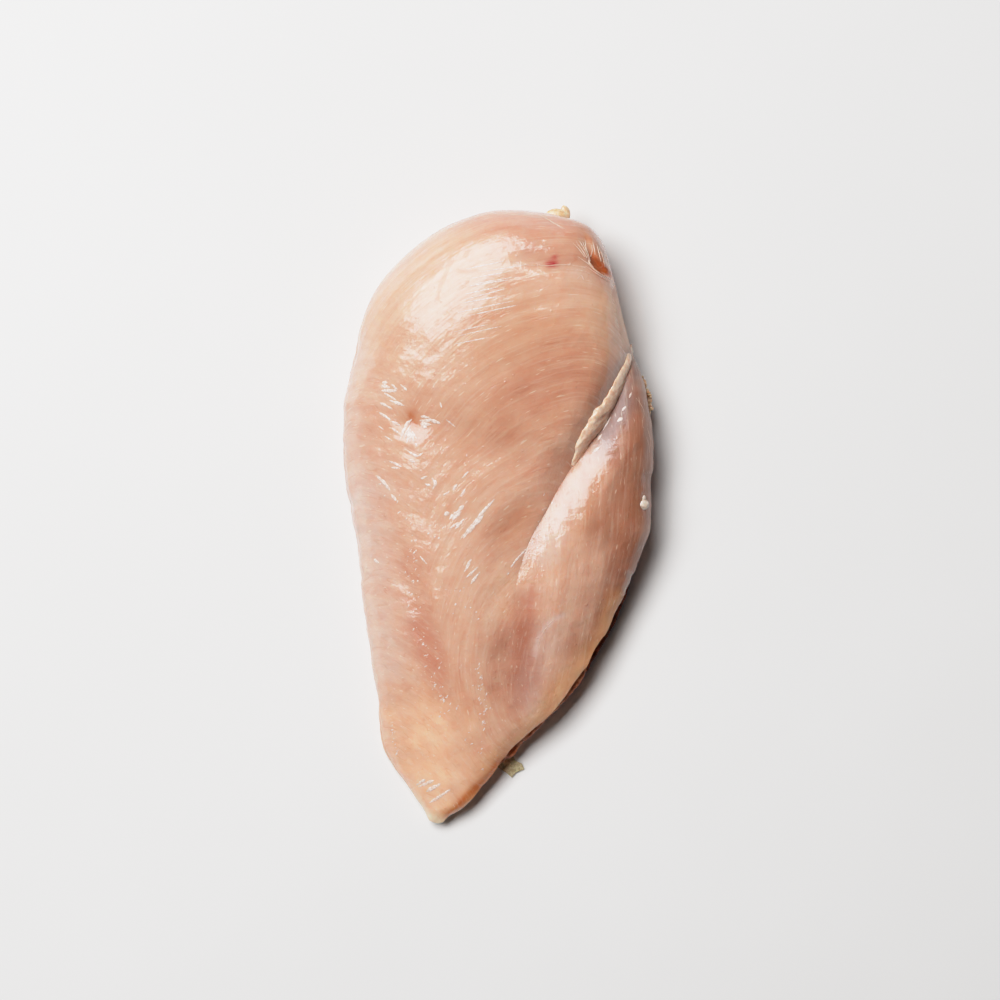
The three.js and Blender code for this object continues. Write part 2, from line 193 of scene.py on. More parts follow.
def smooth(value, low, high):
    """A soft step from 0 to 1 between two values."""
    share = clamp01((value - low) / (high - low))
    return share * share * (3 - 2 * share)


def round_up(share):
    """Quarter of a round: 0 at the start, where it stands upright, and 1 at the end."""
    return np.sqrt(1 - (1 - clamp01(share)) ** 2)


def turned(x, y, degrees):
    """A place turned about the origin."""
    angle = math.radians(degrees)
    return x * math.cos(angle) - y * math.sin(angle), x * math.sin(angle) + y * math.cos(angle)


def unit(vectors):
    """The vectors made one unit long."""
    return vectors / np.maximum(np.linalg.norm(vectors, axis=-1, keepdims=True), NEARLY_ZERO)


def through(points, steps):
    """A smooth curve through the points, with evenly many places between each two."""
    given = np.array(points, dtype=float)
    padded = np.vstack([2 * given[0] - given[1], given, 2 * given[-1] - given[-2]])
    along = np.linspace(0, len(given) - 1, steps + 1)
    start = np.minimum(along.astype(int), len(given) - 2)
    f = (along - start)[:, None]
    p0, p1, p2, p3 = (padded[start + k] for k in range(4))
    leave = LINE_TENSION * (p2 - p0)
    arrive = LINE_TENSION * (p3 - p1)
    ease = 3 * f**2 - 2 * f**3
    return (1 - ease) * p1 + (f**3 - 2 * f**2 + f) * leave + ease * p2 + (f**3 - f**2) * arrive


def soft_noise(x, y, size, seed):
    """Smooth seeded noise between -1 and 1, with lumps of about the given size."""
    grid = np.random.default_rng(seed).uniform(-1, 1, (NOISE_CELLS, NOISE_CELLS))
    across, along = np.asarray(x) / size, np.asarray(y) / size
    column, row = np.floor(across).astype(int), np.floor(along).astype(int)
    fx, fy = smooth(across - column, 0, 1), smooth(along - row, 0, 1)
    at = lambda dx, dy: grid[(column + dx) % NOISE_CELLS, (row + dy) % NOISE_CELLS]
    return mix(mix(at(0, 0), at(1, 0), fx), mix(at(0, 1), at(1, 1), fx), fy)


def line_along(points, ragged=0, seed=0):
    """A line as a function of y that gives its x and its third number.

    A ragged line wanders sideways by about that many millimetres, except at its two ends.
    """
    path = through(points, LINE_STEPS)
    ys = np.maximum.accumulate(path[:, 1])

    def at(y):
        ends = smooth(y - TIP[1], 0, RAGGED_SHORT) * (1 - smooth(y, *RAGGED_ENDS))
        short = RAGGED_SHORT_SHARE * soft_noise(y, 0, RAGGED_SHORT, seed)
        wander = ragged * ends * (soft_noise(y, 0, RAGGED_LONG, seed) + short)
        return np.interp(y, ys, path[:, 0]) + wander, np.interp(y, ys, path[:, 2])

    return at


left_rim = line_along(LEFT_RIM, *LEFT_RAGGED)
right_rim = line_along(RIGHT_RIM, *RIGHT_RAGGED)
spine = line_along(SPINE)
crease = line_along(CREASE)


def distance_to(x, y, points):
    """How far each place is from a chain of points, and where on it, counted in stretches."""
    nearest = np.full(np.shape(x), np.inf)
    where = np.zeros(np.shape(x))
    for i, (a, b) in enumerate(zip(points, points[1:])):
        run = (b[0] - a[0], b[1] - a[1])
        length = max(run[0] ** 2 + run[1] ** 2, NEARLY_ZERO)
        share = clamp01(((x - a[0]) * run[0] + (y - a[1]) * run[1]) / length)
        away = np.hypot(x - a[0] - share * run[0], y - a[1] - share * run[1])
        where = np.where(away < nearest, i + share, where)
        nearest = np.minimum(nearest, away)
    return nearest, where


def hollow_depth(x, y):
    """How deep the hollows are together."""
    total = 0
    for (at_x, at_y), turn, (long, wide), depth in HOLLOWS:
        along, across = turned(x - at_x, y - at_y, -turn)
        along, across = along / long, across / wide
        total = total + depth * np.exp(-along * along - across * across)
    return total


def crease_cut(x, y):
    """The share of the arch that the crease takes away: a fold above, a soft valley below."""
    line_x, value = crease(y)
    on_left = x < line_x
    reach = np.where(on_left, CREASE_LEFT_REACH, CREASE_RIGHT_REACH)
    away = clamp01(np.abs(x - line_x) / reach)
    valley = (1 + np.cos(np.pi * away)) / 2
    crisp = smooth(y, *CREASE_CRISP)
    drop = np.where(on_left, 0, LOBE_DROP * crisp)
    left_sharpness = mix(*LEFT_SHARPNESS, smooth(y, *SHARPENS))
    fold = (1 - away) ** np.where(on_left, left_sharpness, RIGHT_SHARPNESS)
    return np.maximum(value, 0) * mix(mix(valley, fold, crisp), 1, drop)


def groove_depth(x, y):
    """How deep the groove beside the tucked flap is."""
    away, where = distance_to(x, y, FLAP_GROOVE)
    depths = [point[2] for point in FLAP_GROOVE]
    depth = np.interp(where, range(len(depths)), depths)
    return depth * (1 - smooth(away / FLAP_GROOVE_REACH, 0, 1))


def top_height(x, y):
    """Height of the upper surface."""
    top_x, top_rise = spine(y)
    left_x, left_rise = left_rim(y)
    right_x, right_rise = right_rim(y)
    on_left = x < top_x
    rim_rise = np.where(on_left, left_rise, right_rise)
    reach = np.where(on_left, left_x, right_x) - top_x
    left_fullness = mix(BODY_FULLNESS, LOBE_FULLNESS, smooth(y, *LOBE_STARTS))
    fullness = np.where(on_left, left_fullness, RIGHT_FULLNESS)
    out = clamp01((x - top_x) / np.where(np.abs(reach) < NEARLY_ZERO, 1, reach))
    rounded = (1 - out**fullness) ** (1 / fullness)
    arch = np.where(on_left, rounded, mix(1 - out**EDGE_POWER, rounded, smooth(y, *EDGE_ROUNDS)))
    cut = (top_rise - right_rise) * crease_cut(x, y)
    raised = (top_rise - rim_rise - cut) * THICKNESS - hollow_depth(x, y) - groove_depth(x, y)
    return rim_rise * THICKNESS + np.maximum(raised, 0) * arch


def under_height(x, y):
    """Height of the underside, which is flat but for its rounded edges."""
    left_x, left_rise = left_rim(y)
    right_x, right_rise = right_rim(y)
    share = clamp01((x - left_x) / np.maximum(right_x - left_x, NEARLY_ZERO))
    landed = round_up((x - left_x) / (FOOT_INSET_LEFT * left_rise * THICKNESS))
    landed = landed * round_up((right_x - x) / (FOOT_INSET_RIGHT * right_rise * THICKNESS))
    landed = landed * round_up((y - TIP[1]) / TIP_INSET) * round_up((HEAD[1] - y) / HEAD_INSET)
    return THICKNESS * mix(left_rise, right_rise, share) * (1 - landed)


# What lies on the meat or looks out from under it, in millimetres
SLOPE_STEP = 0.5
FLOOR_GAP = 0.1

# Strips of tissue: how fine they are, and how their two edges and their lumps vary
STRIP_STEP = 0.35
STRIP_SIDES = 28
STRIP_LEAST = 0.05
STRIP_RAGGED_SIZE = 2.6
STRIP_EDGES_APART = 40
STRIP_LUMPY_SIZE = 1.5
STRIP_LUMPS_AROUND = 9
STRIP_LUMPS_ALONG = 0.7
STRIP_LUMPS_SEED_STEP = 50
# The strip of fat lies on the meat: x, y and half width. The torn layer and the dark strip
# below it hang from the right rim: x, y, height and half width. The dark strip is painted
# shadow: it stands in for the deep brown shadow beside the rim.
FAT_STRIP = (
    (35.3, 52.4, 0.9), (34.4, 47.6, 2), (32.8, 42.6, 2.7), (30.8, 37.6, 3.4), (28.6, 32.6, 3.8),
    (26.2, 28, 3.7), (24, 24, 3.1), (22.6, 20.4, 2.2), (21.2, 16.4, 0.9),
)
FAT_STRIP_SUNK = 0.12
TORN_LAYER = (
    (30.4, -34, 11.6, 0.8), (28.7, -38.6, 11.4, 2), (26.7, -43, 11.2, 3), (24.3, -47, 10.8, 3.7),
    (21.3, -50.8, 10.2, 3.5), (18.3, -54.6, 9.6, 3), (15.2, -58.6, 8.6, 2.9), (12, -62, 8, 3.1),
    (9.4, -65.3, 7, 3.4), (6.8, -68.4, 6, 3.7), (4.6, -71.2, 5.4, 3), (2.6, -73.6, 4.8, 1),
)
# A dark strip at floor level under the right rim: painted shadow
RIM_SHADOW_STRIP = (
    (40.8, -6, 2, 0.8), (38.6, -14, 2.2, 3), (35.8, -22, 2.4, 3.9), (32, -31, 2.4, 4.2),
    (27.8, -39, 2.4, 4.4), (23.6, -46, 2.4, 4.4), (18.8, -52.6, 2.2, 4), (13.6, -58.8, 2, 3),
    (9.6, -64, 2, 1.4),
)
# The film of membrane beside the tip: its level, thickness, waves and outline, and the direction
# along which its faces are put in order
FILM_LEVEL = 0.5
FILM_THICKNESS = 0.35
FILM_FINENESS = 3
FILM_RISE = 0.3
FILM_SHIFT = 0.25
FILM_WAVE = 3
FILM_SEED = 17
FILM_ORDER = Vector((1, 0.37, 0.11))
FILM_OUTLINE = (
    (3, -66), (5.4, -69.6), (7.8, -72.8), (10.2, -74), (12.1, -75.4), (13, -73.6), (15.3, -72.4),
    (14.4, -70.9), (12.4, -70.2), (10.9, -67.4), (7, -63),
)
# Lumps: each has its middle, its half sizes and a turn in degrees
LUMP_FINENESS = 4
LUMP_NOISE = (0.8, 2.1, 4)
NUB = (((10.3, 87.4, 12.8), (3.5, 2.3, 1.7), 20), ((13, 88.7, 12.5), (1.4, 2.3, 1.4), 12))
NODULE = (((42, 7.4, 19.8), (1.9, 1.7, 1.8), 0), ((41.9, 9, 20.2), (0.9, 1.2, 0.9), 0))
CRUMBS = (((39.9, 42, 11), (0.8, 1.5, 0.9), 20), ((41.6, 37.8, 10.4), (0.8, 2.4, 1), 18))
TIP_FAT = (((-12.2, -85.6, 3.4), (0.9, 2.6, 1.2), 35),)

# Thin edges of skin and threads of membrane that lie on the meat: paths of x, y and half width
MEMBRANE_SUNK = 0.2
PATH_SIDES = 10
THREAD_LEAST_STEPS = 6
THREADS = {
    "flap_threads": (
        ((5.8, 86.2, 0.06), (9.4, 84, 0.12), (12.3, 82.7, 0.13), (14.8, 81, 0.14),
         (17.6, 78.8, 0.15), (19.3, 76.3, 0.16), (20.4, 74.4, 0.2)),
        ((7.2, 85.5, 0.06), (11.6, 82.8, 0.11), (14.6, 80.7, 0.12), (17.5, 77.6, 0.13),
         (19.8, 74.6, 0.18)),
        ((10.4, 82, 0.06), (14.1, 79.4, 0.1), (16.9, 77.2, 0.12), (19.2, 74.8, 0.14)),
        ((17, 83.6, 0.08), (17.9, 81.8, 0.14), (18.9, 79.6, 0.18), (19.4, 77.4, 0.2),
         (20.3, 75.2, 0.24), (20.8, 73.8, 0.22)),
        ((16.7, 81.3, 0.06), (18.5, 78.7, 0.12), (19.7, 76.4, 0.14), (20.6, 74.6, 0.14)),
        ((21, 78.6, 0.08), (21.2, 76.9, 0.15), (20.9, 75.2, 0.18)),
    ),
    "pocket_lip": (
        ((17.1, 74.7, 0.06), (19.1, 73.6, 0.12), (20.6, 72.8, 0.16), (22.2, 71.6, 0.2),
         (24, 70.6, 0.2), (26.2, 69.9, 0.14), (28, 69.2, 0.06)),
        ((19.5, 72.2, 0.06), (21.7, 71.2, 0.12), (23.9, 70, 0.14), (26.4, 68.9, 0.08)),
        ((17.5, 67.9, 0.06), (18.5, 69.4, 0.12), (19.5, 68.1, 0.08)),
        ((20.4, 74.2, 0.14), (20.7, 73.2, 0.26), (21.8, 72, 0.28)),
    ),
    "skin_seam": (
        ((2.4, 70.6, 0.05), (8.3, 71.1, 0.1), (12.2, 71.7, 0.14), (15.5, 72, 0.16),
         (19.6, 71.8, 0.2)),
        ((14.4, 70.6, 0.06), (18, 70.8, 0.14), (21, 70.2, 0.1)),
    ),
    "flap_ribs": (
        ((20.3, 81, 0.08), (21.5, 78.4, 0.16), (22.1, 75.9, 0.1)),
        ((21.5, 80.6, 0.08), (22.9, 77.3, 0.16), (23.9, 74.2, 0.1)),
        ((22.6, 79, 0.08), (24.2, 75.9, 0.14), (25.2, 73, 0.08)),
    ),
    "lobe_threads": (
        ((37.4, 37.2, 0.05), (39, 35.4, 0.1), (40, 33.2, 0.11), (39.7, 30.3, 0.11),
         (40.8, 27.6, 0.1), (42.2, 24.4, 0.05)),
        ((41.4, 29, 0.05), (42.6, 25.9, 0.1), (42.6, 22.4, 0.1), (43.3, 18.6, 0.05)),
        ((20.4, -26.8, 0.05), (18.7, -28.4, 0.12), (16.8, -31.6, 0.12), (15.7, -35.4, 0.05)),
    ),
}

# Thin white ribbons on the meat: painted glints, near white in tone to stand in for the wet
# shine, and glossy as well. RIBBON_STOUTEST is the most that a half width may be as a share of
# the length, and a ribbon narrows to its ends by the power RIBBON_TAPER.
RIBBON_STEP = 0.2
RIBBON_LEAST_STEPS = 5
RIBBON_RAGGED = 0.5
RIBBON_RAGGED_SIZE = 0.7
RIBBON_RAGGED_SEED = 61
RIBBON_TAPER = 0.6
RIBBON_LEAST = 0.03
RIBBON_RISE = 0.01
RIBBON_WIDER = 1.2
RIBBON_STOUTEST = 0.3
RIBBON_FLATNESS = 0.16
RAY_ABOVE = 9
# Those placed one by one: half width, then the places they run through
GLINT_RIBBONS = (
    (0.5, (-34.8, 34.4), (-32.2, 34)), (0.4, (-34.6, 33), (-30, 33.2)),
    (0.35, (-34.6, 35.3), (-33, 35.3)), (0.35, (-31.8, 35), (-30, 33.4)),
    (0.3, (-33.8, 32.4), (-30, 30.5)), (0.3, (-29.2, 35), (-27.2, 33.5)),
    (0.4, (-32, 30.4), (-27.6, 29.2)), (0.35, (-34.7, 29.6), (-31, 28)),
    (0.35, (-34.8, 26.8), (-31.3, 25)), (0.35, (-31, 24.6), (-28.3, 23.6)),
    (0.35, (-30.8, 22.7), (-28.7, 21.5)), (0.2, (-34.6, 23), (-33, 22)),
    (0.2, (-32.6, 20.3), (-30.2, 19)), (0.35, (-25.2, 25.7), (-26.6, 23.9), (-28.2, 19.5)),
    (0.25, (-25.5, 24), (-27, 20)), (0.3, (-25.4, 23), (-26.2, 18.8)),
    (0.3, (-25.2, 22), (-25.2, 19)), (0.3, (-25, 21.8), (-24, 19.3)),
    (0.25, (-25, 22.3), (-23.4, 20.3)), (0.3, (-23.7, 19), (-23, 18)),
    (0.35, (-25.8, 16.7), (-23, 15.4), (-21.2, 16.5)), (0.3, (-25.2, 14.2), (-23.3, 13.7)),
    (0.4, (-22.8, 26.6), (-20.2, 26.4)), (0.5, (-23, 25.4), (-20, 25.4)),
    (0.5, (-22.8, 24.5), (-19.7, 24.5)), (0.35, (-22.5, 23.8), (-20.7, 23.7)),
    (0.4, (-20.6, 26), (-17, 25)), (0.2, (-17.6, 31), (-17, 29.4)),
    (0.2, (-15.5, 26.3), (-12.7, 24.4)), (0.3, (-30.8, 13.4), (-27, 12)),
    (0.25, (-30, 11.6), (-27.4, 11.5)), (0.45, (-34.2, 9), (-32, 7.3), (-29.7, 5)),
    (0.35, (-29.4, 4), (-27.7, 2.3)), (0.25, (-21.3, 9), (-19.5, 10)),
    (0.45, (-20, 7.8), (-18.3, 7.4)), (0.35, (-18.2, 9.6), (-17, 8.3), (-17.7, 6.4)),
    (0.3, (-12, 6.6), (-10.8, 8.5)), (0.35, (-9.6, 5), (-8.5, 7.3)), (0.35, (-14.6, 5), (-13, 6)),
    (0.2, (-9.6, 10.3), (-8, 12.3)), (0.4, (-13.8, -0.5), (-12.4, 0.4)),
    (0.4, (-12.3, -1.6), (-9.3, 1.5)), (0.35, (-11.4, -1.8), (-9, 1)),
    (0.4, (-9.8, 1.2), (-8.4, 2.8)), (0.35, (-12, -4.2), (-9.5, -2.2)),
    (0.3, (-10.4, -4.2), (-8, -1)), (0.3, (-8.7, -7), (-3.2, 1), (0, 5.2)),
    (0.45, (-7.9, -6.6), (-2.6, 0.6)), (0.25, (-6.4, -14.6), (-5, -12.2)),
    (0.25, (-6, -17.5), (-3, -14.3)), (0.35, (-4.7, -19.3), (-2.3, -15.6)),
    (0.2, (-6.8, -16), (-5.3, -13.6)), (0.25, (6.2, -13.7), (7.5, -11.6)),
    (0.3, (7, -12.2), (10.7, -7.5)), (0.5, (-33, -15), (-31.4, -16)),
    (0.25, (-19.7, -12.7), (-17.5, -14.8)), (0.4, (-15.4, -79.2), (-12.8, -77)),
    (0.4, (-15, -79.8), (-10.4, -77)), (0.45, (-12.4, -80.7), (-8.4, -77.8)),
    (0.4, (-11.2, -84), (-5.4, -79.2)), (0.45, (32.5, 30), (34, 31.2)),
    (0.35, (33.7, 33.3), (34.7, 34.5)), (0.2, (28.8, 27.3), (30.7, 31.2)),
    (0.25, (27.6, 24.4), (28.6, 26.2)), (0.3, (26.3, 20.6), (28.6, 22.8)),
    (0.2, (35.4, 37), (36, 38.8)),
)
# Strewn ribbons of painted glints, first glitter and then painted highlight streaks on the thick
# lobe. Each kind has half widths, lengths, turns in degrees and strokes, and each stroke how many
# ribbons and how far they stray.
STREWN_INSET = 2
STREWN_SEED = 71
STREWN_GLINTS = (
    ((0.09, 0.2), (0.3, 1.1), (20, 80), (
        (64, 1.5, ((-22.5, -8), (-20.4, -24), (-13, -46), (-8, -58))),
        (30, 1, ((-1, -42), (1.3, -52), (2.4, -60))), (12, 0.35, ((-23.8, -63), (-22.2, -71))),
        (14, 1.8, ((-2, -60), (3, -68), (5, -73))), (12, 1.6, ((9, -14), (12, -4), (16, 6))),
        (14, 2.4, ((-30, 6), (-24, -4), (-12, -6))), (10, 2, ((-12, -20), (-4, -28))),
    )),
    ((0.1, 0.15), (9, 17), (11, 20), ((12, 1, ((-11, 68), (-13, 60), (-16, 48))),)),
)

# Grains of fat on the right rim: a path of x, y and z, and what is strewn along it
FAT_GRAINS_PATH = ((38.9, 43.4, 12.6), (40.2, 40.6, 12), (41.4, 37.6, 11.6), (42.2, 34.4, 11.4))
FAT_GRAINS = {"Count": 26, "Stray": 0.8 * MM, "Smallest": 0.3 * MM, "Largest": 0.8 * MM, "Seed": 5}
FAT_GRAIN_FINENESS = 3
STRAY_SEEDS = 1.0
SIZE_SEEDS = 11.0


def row_places():
    """Where the rows are, from the tip to the thick end."""
    tip = mix(TIP[1], TIP_ROWS_END, (np.arange(1, TIP_ROWS) / TIP_ROWS) ** 2)
    middle = mix(TIP_ROWS_END, HEAD_ROWS_START, np.arange(MIDDLE_ROWS) / MIDDLE_ROWS)
    head = mix(HEAD[1], HEAD_ROWS_START, (1 - np.arange(HEAD_ROWS) / HEAD_ROWS) ** 2)
    return np.concatenate([tip, middle, head])[:, None]


def skin_grid():
    """The places of the skin as rows of closed loops: over the top and back underneath."""
    y = row_places()
    left, _ = left_rim(y)
    top, _ = spine(y)
    fold, _ = crease(y)
    right, _ = right_rim(y)
    reach = right - left
    right_inset = FOOT_INSET_RIGHT * right_rim(y)[1] * THICKNESS
    left_inset = FOOT_INSET_LEFT * left_rim(y)[1] * THICKNESS
    foot_right = right - np.minimum(right_inset, reach * FOOT_REACH)
    foot_left = left + np.minimum(left_inset, reach * FOOT_REACH)
    quarter = lambda steps, count: np.sin(np.pi / 2 * steps / count)
    over = np.hstack([
        mix(top, left, quarter(np.arange(LEFT_COLUMNS, 0, -1), LEFT_COLUMNS)),
        mix(top, fold, quarter(np.arange(SHOULDER_COLUMNS), SHOULDER_COLUMNS)),
        mix(fold, right, (1 - np.cos(np.pi * np.arange(FOLD_COLUMNS + 1) / FOLD_COLUMNS)) / 2),
    ])
    under = np.hstack([
        mix(foot_right, right, quarter(np.arange(UNDER_COLUMNS - 1, 0, -1), UNDER_COLUMNS)),
        mix(foot_right, foot_left, np.arange(FLOOR_COLUMNS + 1) / FLOOR_COLUMNS),
        mix(foot_left, left, quarter(np.arange(1, UNDER_COLUMNS), UNDER_COLUMNS)),
    ])
    x = np.hstack([over, under])
    y = np.broadcast_to(y, x.shape)
    z = np.hstack([top_height(over, y[:, : over.shape[1]]),
                   under_height(under, y[:, over.shape[1]:])])
    upper = np.zeros(x.shape)
    upper[:, 1 : over.shape[1] - 1] = 1
    return np.stack([x, y, z], axis=2), upper


def facing_of(grid):
    """Which way each place of a grid of closed loops faces, outwards."""
    along = np.gradient(grid, axis=0)
    around = np.roll(grid, -1, axis=1) - np.roll(grid, 1, axis=1)
    return unit(np.cross(around, along))


def grains(grid):
    """For each place, how far along and across it is, in each of the three grains."""
    x, y, z = grid[..., 0], grid[..., 1], grid[..., 2]
    fall = GRAIN_FALL * (THICKNESS - z)
    from_x, from_y = x - GRAIN_CENTRE[0], y - GRAIN_CENTRE[1]
    middle = (np.arctan2(-from_x, from_y) * GRAIN_ARC, np.hypot(from_x, from_y) + fall)

    def straight(degrees, fall):
        along, across = turned(x, y, -degrees)
        return along, across + fall

    return middle, straight(MARGIN_TURN, fall), straight(FOLD_TURN, -fall)


# Where the wet surface is rough and glitters: how strong, how far it reaches, and the stroke
ROUGH = (
    (0.3, 2.4, ((0.3, -47.1), (1.2, -57.1))),
    (0.3, 2.6, ((-23, -8), (-21.8, -25.9), (-12.6, -48.2), (-7.3, -59.3))),
    (0.3, 1.6, ((-23.3, -63.5), (-21.6, -72.1))),
    (0.35, 4, ((-30, 62), (-28, 48), (-16, 47), (-4, 58))),
    (0.4, 3, ((10, -16), (13, -2), (19, 10))),
    (0.15, 4, ((-33, 34), (-28, 20), (-20, 10), (-10, 0))),
)
# Where a film lies on the meat, so that it shines less: the same way
DULL = (
    (1.0, 4.2, ((37, 46), (33.4, 36), (30, 28))),
    (1.0, 6, ((41, 36), (38, 22), (33, 6), (27, -12))), (1.0, 3, ((38, 46), (43, 30), (45, 6))),
    (1.0, 4.4, ((6, -22), (18, -21), (26, -16))), (1.0, 3, ((45, 6), (42, -10))),
    (0.8, 4, ((38, -21), (30, -39), (20, -55), (9, -68))),
    (1.0, 4, ((31, 66), (35, 53))),
    (1.0, 0.8, ((-17.9, 70.2), (-18.8, 67.2), (-20.1, 63.5), (-20.8, 59.2))),
    (1.0, 0.6, ((-16.5, 67.6), (-13.7, 67.5), (-10.1, 68.3))),
    (1.0, 0.9, ((-17, 53.5), (-15.8, 53.6))),
)


def stroke_share(x, y, strokes):
    """How strongly the strokes cover each place."""
    share = np.zeros(np.shape(x))
    for strength, reach, stroke in strokes:
        away, _ = distance_to(x, y, stroke)
        share = np.maximum(share, strength * np.exp(-((away / reach) ** 2)))
    return share


def grain_shares(x, y):
    """How much of the margin's and of the fold's grain shows, how rough it is and how dull."""
    seam_y = [point[1] for point in reversed(SEAM)]
    seam_x = [point[0] for point in reversed(SEAM)]
    wobble = SEAM_WOBBLE * soft_noise(x, y, SEAM_WOBBLE_SIZE, SEAM_WOBBLE_SEED)
    from_seam = np.interp(y, seam_y, seam_x) + wobble - x
    margin = smooth(from_seam, -SEAM_BLEND, SEAM_BLEND) * (1 - smooth(y, *SEAM_TOP))
    crease_x, _ = crease(y)
    width = mix(*FOLD_BLEND_WIDTHS, smooth(y, *FOLD_BLEND))
    fold = smooth(x - crease_x, *(side * width for side in FOLD_BLEND_SIDES))
    fold = fold * (1 - smooth(y, *FOLD_ENDS)) * smooth(y, *FOLD_STARTS)
    return margin, fold, stroke_share(x, y, ROUGH), stroke_share(x, y, DULL)


def low_relief(grid, upper):
    """Heights of the lumps and fibre ripples, which fade out at the ends and underneath."""
    x, y = grid[:, :, 0], grid[:, :, 1]
    height = sum(rise * soft_noise(x, y, size, seed) for size, rise, seed in LUMPS)
    middle, margin, folded = grains(grid)
    margin_share, fold_share, _, _ = grain_shares(x, y)
    ripple = lambda grain: soft_noise(
        grain[0] * RIPPLE_WIDTH / RIPPLE_LENGTH, grain[1], RIPPLE_WIDTH, RIPPLE_SEED)
    ripples = mix(mix(ripple(middle), ripple(margin), margin_share), ripple(folded), fold_share)
    height = height + RIPPLE_HEIGHT * ripples
    ends = smooth(y - TIP[1], 0, END_FADE) * smooth(HEAD[1] - y, 0, END_FADE)
    return height * ends * upper


# Tones of the meat, as seen in soft daylight, red, green and blue up to 255
PALE = (245, 212, 192)
PEACH = (223, 178, 153)
TAN = (208, 152, 118)
PINK = (216, 148, 124)
ROSE = (193, 118, 94)
GREYISH = (224, 196, 184)
LILAC = (144, 116, 108)
ORANGE = (208, 142, 102)
RUSSET = (202, 112, 54)
BROWN_AND_SHADE = (158, 96, 70)
RUST = (196, 100, 48)
BLOOD = (186, 50, 58)
GOLD = (214, 160, 100)
MILKY = (214, 192, 180)
WHITISH = (234, 216, 210)
UMBER = (168, 112, 84)
PALE_PINK = (230, 198, 184)
WARM = (190, 126, 100)
HONEY = (250, 210, 178)
APRICOT = (255, 204, 170)
CREAM = (246, 226, 196)
AMBER = (232, 176, 124)

# Washes of tone over the meat: tone, how strong, how far it reaches, and the stroke it follows.
# Some paint shade, as marked below.
WASHES = (
    (PALE, 0.5, 17, ((-26, 62), (-6, 74))),
    (TAN, 0.6, 16, ((2, 52), (22, 46))),
    # Darker below the dome's top: painted shade where the surface turns away from the light
    (TAN, 0.4, 9, ((-6, 24), (10, 26))),
    (PINK, 0.6, 6, ((-14, 83), (14, 82))),
    (GREYISH, 0.6, 7, ((-44, 40), (-45, 12), (-40, -10))),
    (PINK, 0.15, 9, ((-36, 30), (-35, 10), (-30, -12))),
    # Darker on the dome's right slope: painted shade where it faces away from the light
    (WARM, 0.5, 9, ((8, 36), (24, 46))),
    (HONEY, 0.45, 6, ((25, 62), (27, 50))),
    (WARM, 0.5, 3, ((4, 74.6), (18, 74.6))),
    (GREYISH, 0.6, 8, ((-38, 4), (-33, -22), (-28, -44))),
    (PEACH, 0.5, 9, ((-34, 52), (-30, 40))),
    (ROSE, 0.3, 5, ((-22, -14), (-17, -34), (-8, -56))),
    (ROSE, 0.4, 3.4, ((-18, -34), (-11, -46))),
    (ORANGE, 0.25, 14, ((-14, -62), (-2, -60))),
    # Darker pink in the valley: partly its own tone, partly painted shade
    (ROSE, 0.8, 5, ((11.5, -24), (11.5, -38), (14, -50))),
    (MILKY, 0.5, 4, ((18, -30), (14, -46), (16, -54))),
    (PEACH, 0.5, 8, ((14, -20), (24, 2), (33, 22))),
    (TAN, 0.5, 5, ((26, 14), (26, 2))),
    # Darker on the right lobe's flank, which faces away from the light: partly its own browner tone,
    # partly painted shade
    (BROWN_AND_SHADE, 0.75, 6.5, ((32, -34), (40, -8), (42, 16), (41, 28))),
    (UMBER, 0.8, 7, ((38, 34), (37, 24), (36, 12), (34, 0))),
    (WHITISH, 0.35, 3.4, ((28.6, 24), (21.6, 9.7), (14.4, -10))),
    (LILAC, 0.9, 4.4, ((37.6, 47), (33.6, 36), (29.6, 27))),
    (AMBER, 0.6, 3.4, ((37.6, -21), (29.6, -39), (20, -54), (9, -67), (3, -76))),
    (WHITISH, 0.4, 0.8, ((21.9, -25.9), (18.7, -28.1), (15.5, -33.6), (15.3, -38))),
    # Browner in the valley: partly its own tone, partly painted shade
    (BROWN_AND_SHADE, 0.38, 4.5, ((10.5, -23), (11.5, -38), (13, -46))),
    (UMBER, 0.3, 5, ((4, -38), (6, -50))),
    (HONEY, 0.3, 4, ((4, -16), (5.5, -26))),
    (HONEY, 0.5, 4, ((30, 64), (34.5, 54))),
    (ORANGE, 0.45, 5, ((4, -4), (9, 3))),
    (ORANGE, 0.4, 2.4, ((-26.4, 26.4), (-24, 24.6))),
    (RUSSET, 0.6, 0.7, ((-25.8, 26.8), (-24.6, 24.2))),
    (ROSE, 0.15, 6, ((-22, 24), (10, 14))),
    (ORANGE, 1.0, 5, ((29, 70), (25, 79), (20, 83))),
    (UMBER, 0.5, 4, ((25, 76), (21.5, 81))),
    (PALE_PINK, 0.3, 2, ((17, 70), (22, 69.6), (27, 68))),
    (RUST, 1.0, 2, ((21.4, 75.4), (23.2, 73.4), (26.4, 71.6))),
    (APRICOT, 0.9, 12, ((-13, -66), (-8, -84))),
    (GOLD, 0.6, 2.4, ((-8, -88), (2, -80))),
    (CREAM, 0.9, 2, ((-14.6, -84), (-12, -87.4), (-8, -89))),
    (RUSSET, 0.8, 1.2, ((-5.4, -86.4), (5.6, -74.2), (9.4, -67.9))),
    (BLOOD, 1.0, 1.1, ((9.6, 71.7), (10.8, 71.9))),
    (BLOOD, 0.7, 0.7, ((10.6, 73.6), (11, 73.9))),
    # Thin brown lines along the crease: painted shade in the fold
    (BROWN_AND_SHADE, 0.6, 1.1, ((34.8, 50), (31, 36), (23.2, 20.5))),
    (BROWN_AND_SHADE, 0.3, 1, ((23.2, 20.5), (14.2, 2), (9.8, -12))),
)
WASH_WOBBLE = 0.35
WASH_WOBBLE_SIZE = 5
WASH_WOBBLE_SEED = 31


